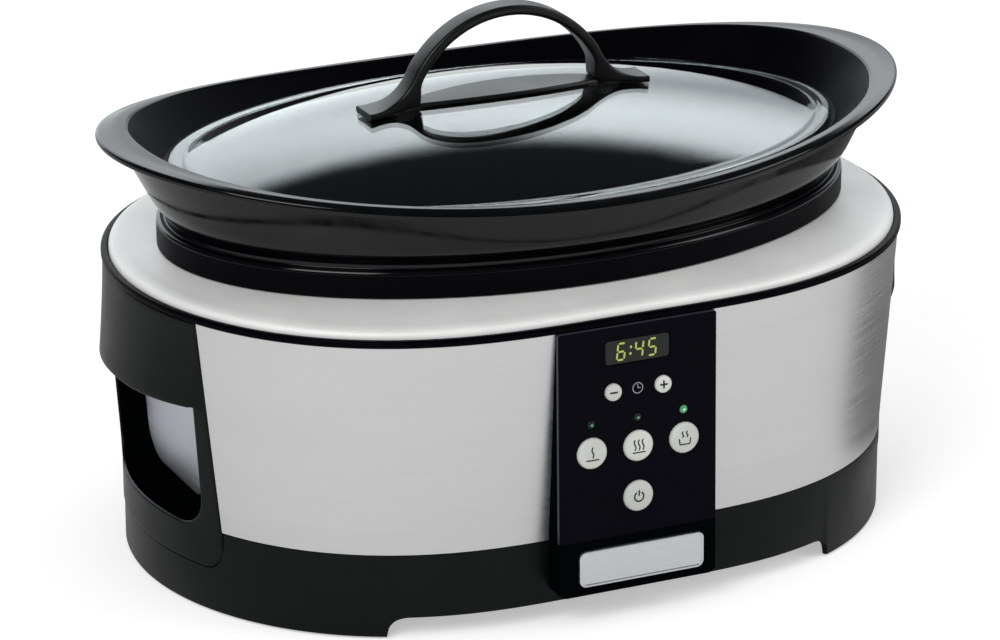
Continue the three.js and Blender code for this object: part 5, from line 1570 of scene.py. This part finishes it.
def build_digits(height):
    """Cooking time in slanted seven-segment digits, and the colon after the hours."""
    width, slant, gap, line = 0.47 * height, 0.1, 0.09 * height, 0.115 * height
    strokes = []

    def place(left, point):
        x, z = left + point[0] * width, (point[1] - 0.5) * height
        return np.array([x + slant * z, WINDOW_CENTRE + z])

    for left, digit in DIGIT_PLACES:
        for segment in DIGITS[digit]:
            start, end = (place(left, point) for point in DIGIT_SEGMENTS[segment])
            inward = (end - start) / np.linalg.norm(end - start) * gap
            strokes.append(stroke([start + inward, end - inward], line, blunt=True))
    for rise in (-0.2, 0.2):
        dot = np.array([COLON_PLACE + slant * rise * height, WINDOW_CENTRE + rise * height])
        strokes.append(stroke([dot - [0, 0.3 * MM], dot + [0, 0.3 * MM]], 1.2 * MM, blunt=True))
    return ink_piece("display_digits", strokes, lambda x, z: DIGITS_DEPTH, 0.1 * MM)


def build_clock_mark():
    """Small clock between the two timer buttons."""
    centre = BUTTONS["plus"][1]
    ring = arc(0, centre, 2.7 * MM, 0, 360, 41)[:-1]
    marks = [
        stroke(ring, 0.5 * MM, closed=True),
        stroke([(0, centre), (0, centre + 1.7 * MM)], 0.45 * MM),
        stroke([(0, centre), (1.3 * MM, centre)], 0.45 * MM),
    ]
    return ink_piece("mark_clock", marks, lambda x, z: 0.0)


def build_badge():
    """Plain name plate: a raised rounded border round a slightly sunken brushed field."""
    front = -BADGE_PROUD
    # Depth and inset of each ring, from the back round the border to the field.
    rows = [
        (0.7 * MM, 0.0), (front + 0.5 * MM, 0.0), (front + 0.15 * MM, 0.15 * MM),
        (front, 0.5 * MM), (front, 1.0 * MM), (front + 0.1 * MM, 1.3 * MM),
        (front + 0.4 * MM, 1.5 * MM),
    ]
    half_width, half_height = BADGE_HALF
    rings = []
    for depth, inset in rows:
        outline = rounded_rectangle(
            half_width - inset, BADGE_CENTRE - half_height + inset,
            BADGE_CENTRE + half_height - inset, max(BADGE_CORNER - inset, 0.4 * MM),
        )
        rings.append([(x + BADGE_OFFSET, depth, z) for x, z in outline])
    return slab_piece("badge_blank", on_panel(np.array(rings)))


# ---------------------------------------------------------------------------
# Operators: one for each piece or group of like pieces
# ---------------------------------------------------------------------------

class COOKER_OT_walls(bpy.types.Operator):
    """Front and rear sheets of brushed stainless steel"""

    bl_idname = "cooker.walls"
    bl_label = "Steel walls"

    def execute(self, context):
        for side, node in ((-1, "steel_wall_front"), (1, "steel_wall_rear")):
            settle(build_wall(side), "base", finish("stainless_brushed"), [node])
        return {"FINISHED"}


class COOKER_OT_trim_and_deck(bpy.types.Operator):
    """Trim ring over the walls and the pressed steel deck inside it"""

    bl_idname = "cooker.trim_and_deck"
    bl_label = "Trim ring and deck"

    def execute(self, context):
        sizes = context.scene.cooker_sizes
        ring = build_trim_ring(sizes.round_sides)
        settle(ring, "base", finish("abs_gloss"), ["trim_ring"])
        deck = build_deck(sizes.round_sides, sizes.deck_roll)
        settle(deck, "base", finish("stainless_satin"), ["deck_plate"])
        return {"FINISHED"}


class COOKER_OT_base(bpy.types.Operator):
    """Base moulding with its rubber feet and screws"""

    bl_idname = "cooker.base"
    bl_label = "Base and feet"

    def execute(self, context):
        skirt = build_skirt(context.scene.cooker_sizes.round_sides)
        settle(skirt, "base", finish("abs_satin"), ["base_skirt"])
        tree = turned_piece_tree()
        pads = [f"foot_pad_{i}" for i in range(1, 5)]
        foot = pieces_on_points("rubber_feet", seats(pads, PAD_LOW.z), tree, {
            "Radius": (PAD_HIGH.x - PAD_LOW.x) / 2,
            "Height": PAD_HIGH.z - PAD_LOW.z,
            "Edge": PAD_EDGE,
            "Socket radius": PAD_SOCKET_RADIUS,
            "Socket depth": PAD_SOCKET_DEPTH,
            "Socket sides": 48,
            "Finish": finish("rubber_moulded"),
        })
        settle(foot, "base", finish("rubber_moulded"), pads)
        return {"FINISHED"}


class COOKER_OT_end_handles(bpy.types.Operator):
    """Mouldings at both ends, with a flared lip over a finger pocket"""

    bl_idname = "cooker.end_handles"
    bl_label = "End handles"

    def execute(self, context):
        edge = context.scene.cooker_sizes.moulding_edge
        for name, side in (("left", -1), ("right", 1)):
            grip = build_end_handle("moulding_" + name, side, edge)
            settle(grip, "base", finish("abs_satin"), ["end_handle_" + name])
            # Painted shade inside its pocket: darker and without a highlight, over a coarse grain.
            add_finish(grip, "abs_pocket_painted_shade", inside_pocket)
            dress("pocket_plate_" + name, finish("stainless_pocket"))
        return {"FINISHED"}


class COOKER_OT_inside(bpy.types.Operator):
    """Parts inside and under the housing that keep their solid shape"""

    bl_idname = "cooker.inside"
    bl_label = "Inside parts"

    def execute(self, context):
        plain = {
            "floor_plate": "zinc_spangled",
            "heater_band": "foil_crumpled",
            "heat_sensor": "brass_turned",
            "tie_bolt": "zinc_plated",
            "power_board": "solder_mask",
            "control_board": "solder_mask",
            "terminal_block": "nylon_moulded",
            "cord_gland": "rubber_moulded",
            "lid_washer_left": "silicone_moulded",
            "lid_washer_right": "silicone_moulded",
            "lid_screw_left": "zinc_plated",
            "lid_screw_right": "zinc_plated",
            "display_module": "abs_satin",
        }
        for i in range(1, 5):
            plain[f"base_screw_{i}"] = "zinc_plated"
        for node, name in plain.items():
            dress(node, finish(name))
        well = smoothed_copy("well_spun", "heating_well", sharp=50)
        settle(well, "base", finish("aluminium_spun"), ["heating_well"])
        return {"FINISHED"}


class COOKER_OT_crock(bpy.types.Operator):
    """Lift-out stoneware crock under a black glaze"""

    bl_idname = "cooker.crock"
    bl_label = "Crock"

    def execute(self, context):
        sizes = context.scene.cooker_sizes
        crock = build_crock(sizes.round_sides, sizes.rim_rounding)
        settle(crock, "crock", finish("stoneware_glazed"), ["crock"])
        # The foot and the bottom of the neck are darker and dull, and the inside is painted shade:
        # darker, without the glaze's reflection.
        add_finish(crock, "stoneware_darkened", darkened_faces)
        return {"FINISHED"}


class COOKER_OT_lid(bpy.types.Operator):
    """Glass lid and its arched handle"""

    bl_idname = "cooker.lid"
    bl_label = "Lid"

    def execute(self, context):
        pane = build_lid_glass(context.scene.cooker_sizes.round_sides)
        settle(pane, "lid", finish("glass_tempered"), ["lid_glass"])
        grip = build_grip()
        settle(grip, "lid", finish("phenolic_satin"), ["lid_handle"])
        return {"FINISHED"}


class COOKER_OT_panel(bpy.types.Operator):
    """Control panel: its box, polished fascia, display and blank name plate"""

    bl_idname = "cooker.panel"
    bl_label = "Control panel"

    def execute(self, context):
        box = smoothed_copy("panel_box", "panel_housing", PANEL_EDGE, PANEL_SHARP)
        settle(box, "base", finish("abs_panel"), ["panel_housing"])
        fascia = smoothed_copy("fascia_plate", "panel_fascia", FASCIA_EDGE, PANEL_SHARP)
        settle(fascia, "base", finish("acrylic_polished"), ["panel_fascia"])
        # Painted highlight: its outline is paler than its face.
        add_finish(fascia, "acrylic_edge_painted_highlight", on_outline)
        window = smoothed_copy("display_pane", "display_window", WINDOW_EDGE, PANEL_SHARP)
        settle(window, "base", finish("display_glass"), ["display_window"])
        digits = build_digits(context.scene.cooker_sizes.digit_height)
        settle(digits, "base", finish("display_segment"))
        settle(build_clock_mark(), "base", finish("panel_ink"))
        settle(build_badge(), "base", finish("badge_brushed"), ["badge_plate"])
        return {"FINISHED"}


class COOKER_OT_buttons(bpy.types.Operator):
    """Domed push buttons with their marks, and the lamps over them"""

    bl_idname = "cooker.buttons"
    bl_label = "Buttons and lamps"

    def execute(self, context):
        dome = context.scene.cooker_sizes.button_dome
        for name in BUTTONS:
            node = "button_" + name
            cap = build_button(name, dome)
            settle(cap, node, finish("button_abs"), [node])
            settle(build_symbol(name, dome), node, finish("button_ink"))
        for name in ("low", "high", "warm"):
            lens = build_lens(name)
            glow = "lamp_lit" if name == "warm" else "lamp_dim"
            settle(lens, "base", finish(glow), ["lens_" + name])
            # Painted highlight: the middle of the lens glows as a paler spot, on the lit lamp
            # partly its own glow.
            tip = Vector(on_panel([(BUTTONS[name][0], -LENS_PROUD, LENS_ROW)])[0])
            add_finish(
                lens, glow + "_painted_highlight", lambda face: (face.center - tip).length < PAINTED_HIGHLIGHT_RADIUS
            )
        return {"FINISHED"}


class COOKER_OT_stage(bpy.types.Operator):
    """Pale floor, soft studio light and camera"""

    bl_idname = "cooker.stage"
    bl_label = "Stage"

    def execute(self, context):
        build_floor()
        build_flag()
        build_world(context.scene)
        for name, softbox in SOFTBOXES.items():
            build_softbox(name, *softbox)
        build_camera(context.scene)
        return {"FINISHED"}


def flat_sheet(name, left, right, near, far, height=0.0):
    """Level rectangle on the stage."""
    mesh = bpy.data.meshes.new(name)
    corners = ((left, near), (right, near), (right, far), (left, far))
    mesh.from_pydata([(x, y, height) for x, y in corners], [], [(0, 1, 2, 3)])
    sheet = bpy.data.objects.new(name, mesh)
    bpy.context.scene.collection.objects.link(sheet)
    return sheet


def build_floor():
    """Floor of matt white paper."""
    floor = flat_sheet("floor", -FLOOR_REACH, FLOOR_REACH, -FLOOR_REACH, FLOOR_REACH)
    # The glow makes it white to the camera, and the object's shadow stays on it.
    material = bpy.data.materials.new("paper_matt")
    material.use_nodes = True
    tree = material.node_tree
    tree.nodes.clear()
    paper = add_node(tree, "ShaderNodeBsdfDiffuse", {"Color": (0.8, 0.8, 0.8, 1.0)})
    path = add_node(tree, "ShaderNodeLightPath").outputs
    seen = maths(tree, "MAXIMUM", path["Is Camera Ray"], path["Is Transmission Ray"])
    glow = maths(tree, "MULTIPLY", seen, PAPER_GLOW)
    lift = add_node(tree, "ShaderNodeEmission", {"Strength": glow})
    both = add_node(tree, "ShaderNodeAddShader", {0: paper.outputs[0], 1: lift.outputs[0]})
    add_node(tree, "ShaderNodeOutputMaterial", {"Surface": both.outputs[0]})
    floor.data.materials.append(material)


def build_flag():
    """Grey card on the floor beside the right end, seen only in what the steel mirrors."""
    flag = flat_sheet("flag", FLAG_LEFT, FLAG_RIGHT, FLAG_NEAR, FLAG_FAR, 1 * MM)
    flag.data.materials.append(new_finish("card_grey", linear("666666"), 0.8)[0])
    flag.visible_camera = flag.visible_diffuse = flag.visible_shadow = False
    flag.visible_transmission = False


def build_world(scene):
    """White to the camera. Mirrored, a white backdrop behind the cooker that a softbox over it
    brightens upward, with dark studio above and in front."""
    world = bpy.data.worlds.new("studio")
    scene.world = world
    world.use_nodes = True
    tree = world.node_tree
    tree.nodes.clear()
    direction = add_node(tree, "ShaderNodeTexCoord").outputs["Generated"]
    axes = add_node(tree, "ShaderNodeSeparateXYZ", {"Vector": direction}).outputs

    def ramp(axis, start, end, low, high):
        limits = {"From Min": start, "From Max": end, "To Min": low, "To Max": high}
        limits["Value"] = axes[axis]
        kind = {"interpolation_type": "SMOOTHSTEP"}
        return add_node(tree, "ShaderNodeMapRange", limits, **kind).outputs["Result"]

    # Each ramp runs over part of one axis of the mirrored direction, from one level to another.
    backdrop = ramp("X", 0.15, 0.55, 1.75, 0.7)
    softbox = ramp("X", 0.1, 0.45, 2.2, 3.4)
    height = ramp("Z", 0.2, 0.58, 0.0, 1.0)
    glow = add_node(tree, "ShaderNodeMix", {0: height, 2: backdrop, 3: softbox}).outputs[0]
    # It ends above the softbox, in front of the backdrop, and on the left.
    edges = (
        ("Z", 0.61, 0.71, 1.0, 0.0),
        ("Y", 0.3, 0.5, 0.0, 1.0),
        ("X", -0.46, -0.3, 0.0, 1.0),
    )
    for edge in edges:
        glow = maths(tree, "MULTIPLY", glow, ramp(*edge))
    mirrored = maths(tree, "ADD", glow, MIRRORED_LEAST)
    path = add_node(tree, "ShaderNodeLightPath").outputs
    bent = maths(tree, "MAXIMUM", path["Is Glossy Ray"], path["Is Transmission Ray"])
    lit = add_node(tree, "ShaderNodeMix", {0: bent, 2: ROOM_LIGHT, 3: mirrored}).outputs[0]
    level = add_node(tree, "ShaderNodeMix", {0: path["Is Camera Ray"], 2: lit, 3: 1.0}).outputs[0]
    # The colour inputs and output of a mix node come after those for numbers and for vectors.
    colours = {0: bent, 6: (1.0, 1.0, 1.0, 1.0), 7: MIRRORED_TINT}
    tint = add_node(tree, "ShaderNodeMix", colours, data_type="RGBA").outputs[2]
    back = add_node(tree, "ShaderNodeBackground", {"Color": tint, "Strength": level})
    add_node(tree, "ShaderNodeOutputWorld", {"Surface": back.outputs[0]})


def build_softbox(name, place, width, height, watts):
    """Rectangular light that the camera does not see."""
    lamp = bpy.data.lights.new(name, "AREA")
    lamp.shape = "RECTANGLE"
    lamp.size = width
    lamp.size_y = height
    lamp.energy = watts
    box = bpy.data.objects.new(name, lamp)
    box.visible_camera = False
    turn = (Vector(SOFTBOX_AIM) - Vector(place)).to_track_quat("-Z", "Y").to_matrix().to_4x4()
    box.matrix_world = Matrix.Translation(place) @ turn
    bpy.context.scene.collection.objects.link(box)


def build_camera(scene):
    """Camera with a long lens, a little to the left of the panel and above the lid."""
    side, height = -CAMERA_SIDE, CAMERA_HEIGHT
    right = Vector((math.cos(side), -math.sin(side), 0))
    up = Vector((
        math.sin(side) * math.sin(height),
        math.cos(side) * math.sin(height),
        math.cos(height),
    ))
    back = right.cross(up)
    lens = bpy.data.cameras.new("camera")
    lens.lens = CAMERA_LENS
    lens.clip_end = 60
    camera = bpy.data.objects.new("camera", lens)
    aim = right * CAMERA_AIM_RIGHT + Vector((0, 0, CAMERA_AIM_UP))
    turn = Matrix((right, up, back)).transposed().to_4x4()
    camera.matrix_world = Matrix.Translation(aim + back * CAMERA_DISTANCE) @ turn
    scene.collection.objects.link(camera)
    scene.camera = camera
    scene.view_settings.view_transform = "Standard"


class COOKER_PT_panel(bpy.types.Panel):
    """Lists the settings and the steps that build the cooker"""

    bl_idname = "COOKER_PT_panel"
    bl_label = "Slow cooker"
    bl_space_type = "VIEW_3D"
    bl_region_type = "UI"
    bl_category = "Slow cooker"

    def draw(self, context):
        layout = self.layout
        for group in (context.scene.cooker_sizes, context.scene.cooker_colours):
            for name in group.__annotations__:
                layout.prop(group, name)
        for step in STEPS:
            layout.operator(step.bl_idname)


STEPS = (
    COOKER_OT_stage,
    COOKER_OT_walls,
    COOKER_OT_trim_and_deck,
    COOKER_OT_base,
    COOKER_OT_end_handles,
    COOKER_OT_inside,
    COOKER_OT_crock,
    COOKER_OT_lid,
    COOKER_OT_panel,
    COOKER_OT_buttons,
)
CLASSES = (CookerSizes, CookerColours, *STEPS, COOKER_PT_panel)


def register():
    for item in CLASSES:
        bpy.utils.register_class(item)
    bpy.types.Scene.cooker_sizes = PointerProperty(type=CookerSizes)
    bpy.types.Scene.cooker_colours = PointerProperty(type=CookerColours)


def unregister():
    del bpy.types.Scene.cooker_colours
    del bpy.types.Scene.cooker_sizes
    for item in reversed(CLASSES):
        bpy.utils.unregister_class(item)


def main():
    register()
    for step in STEPS:
        group, name = step.bl_idname.split(".")
        getattr(getattr(bpy.ops, group), name)()


if __name__ == "__main__":
    main()
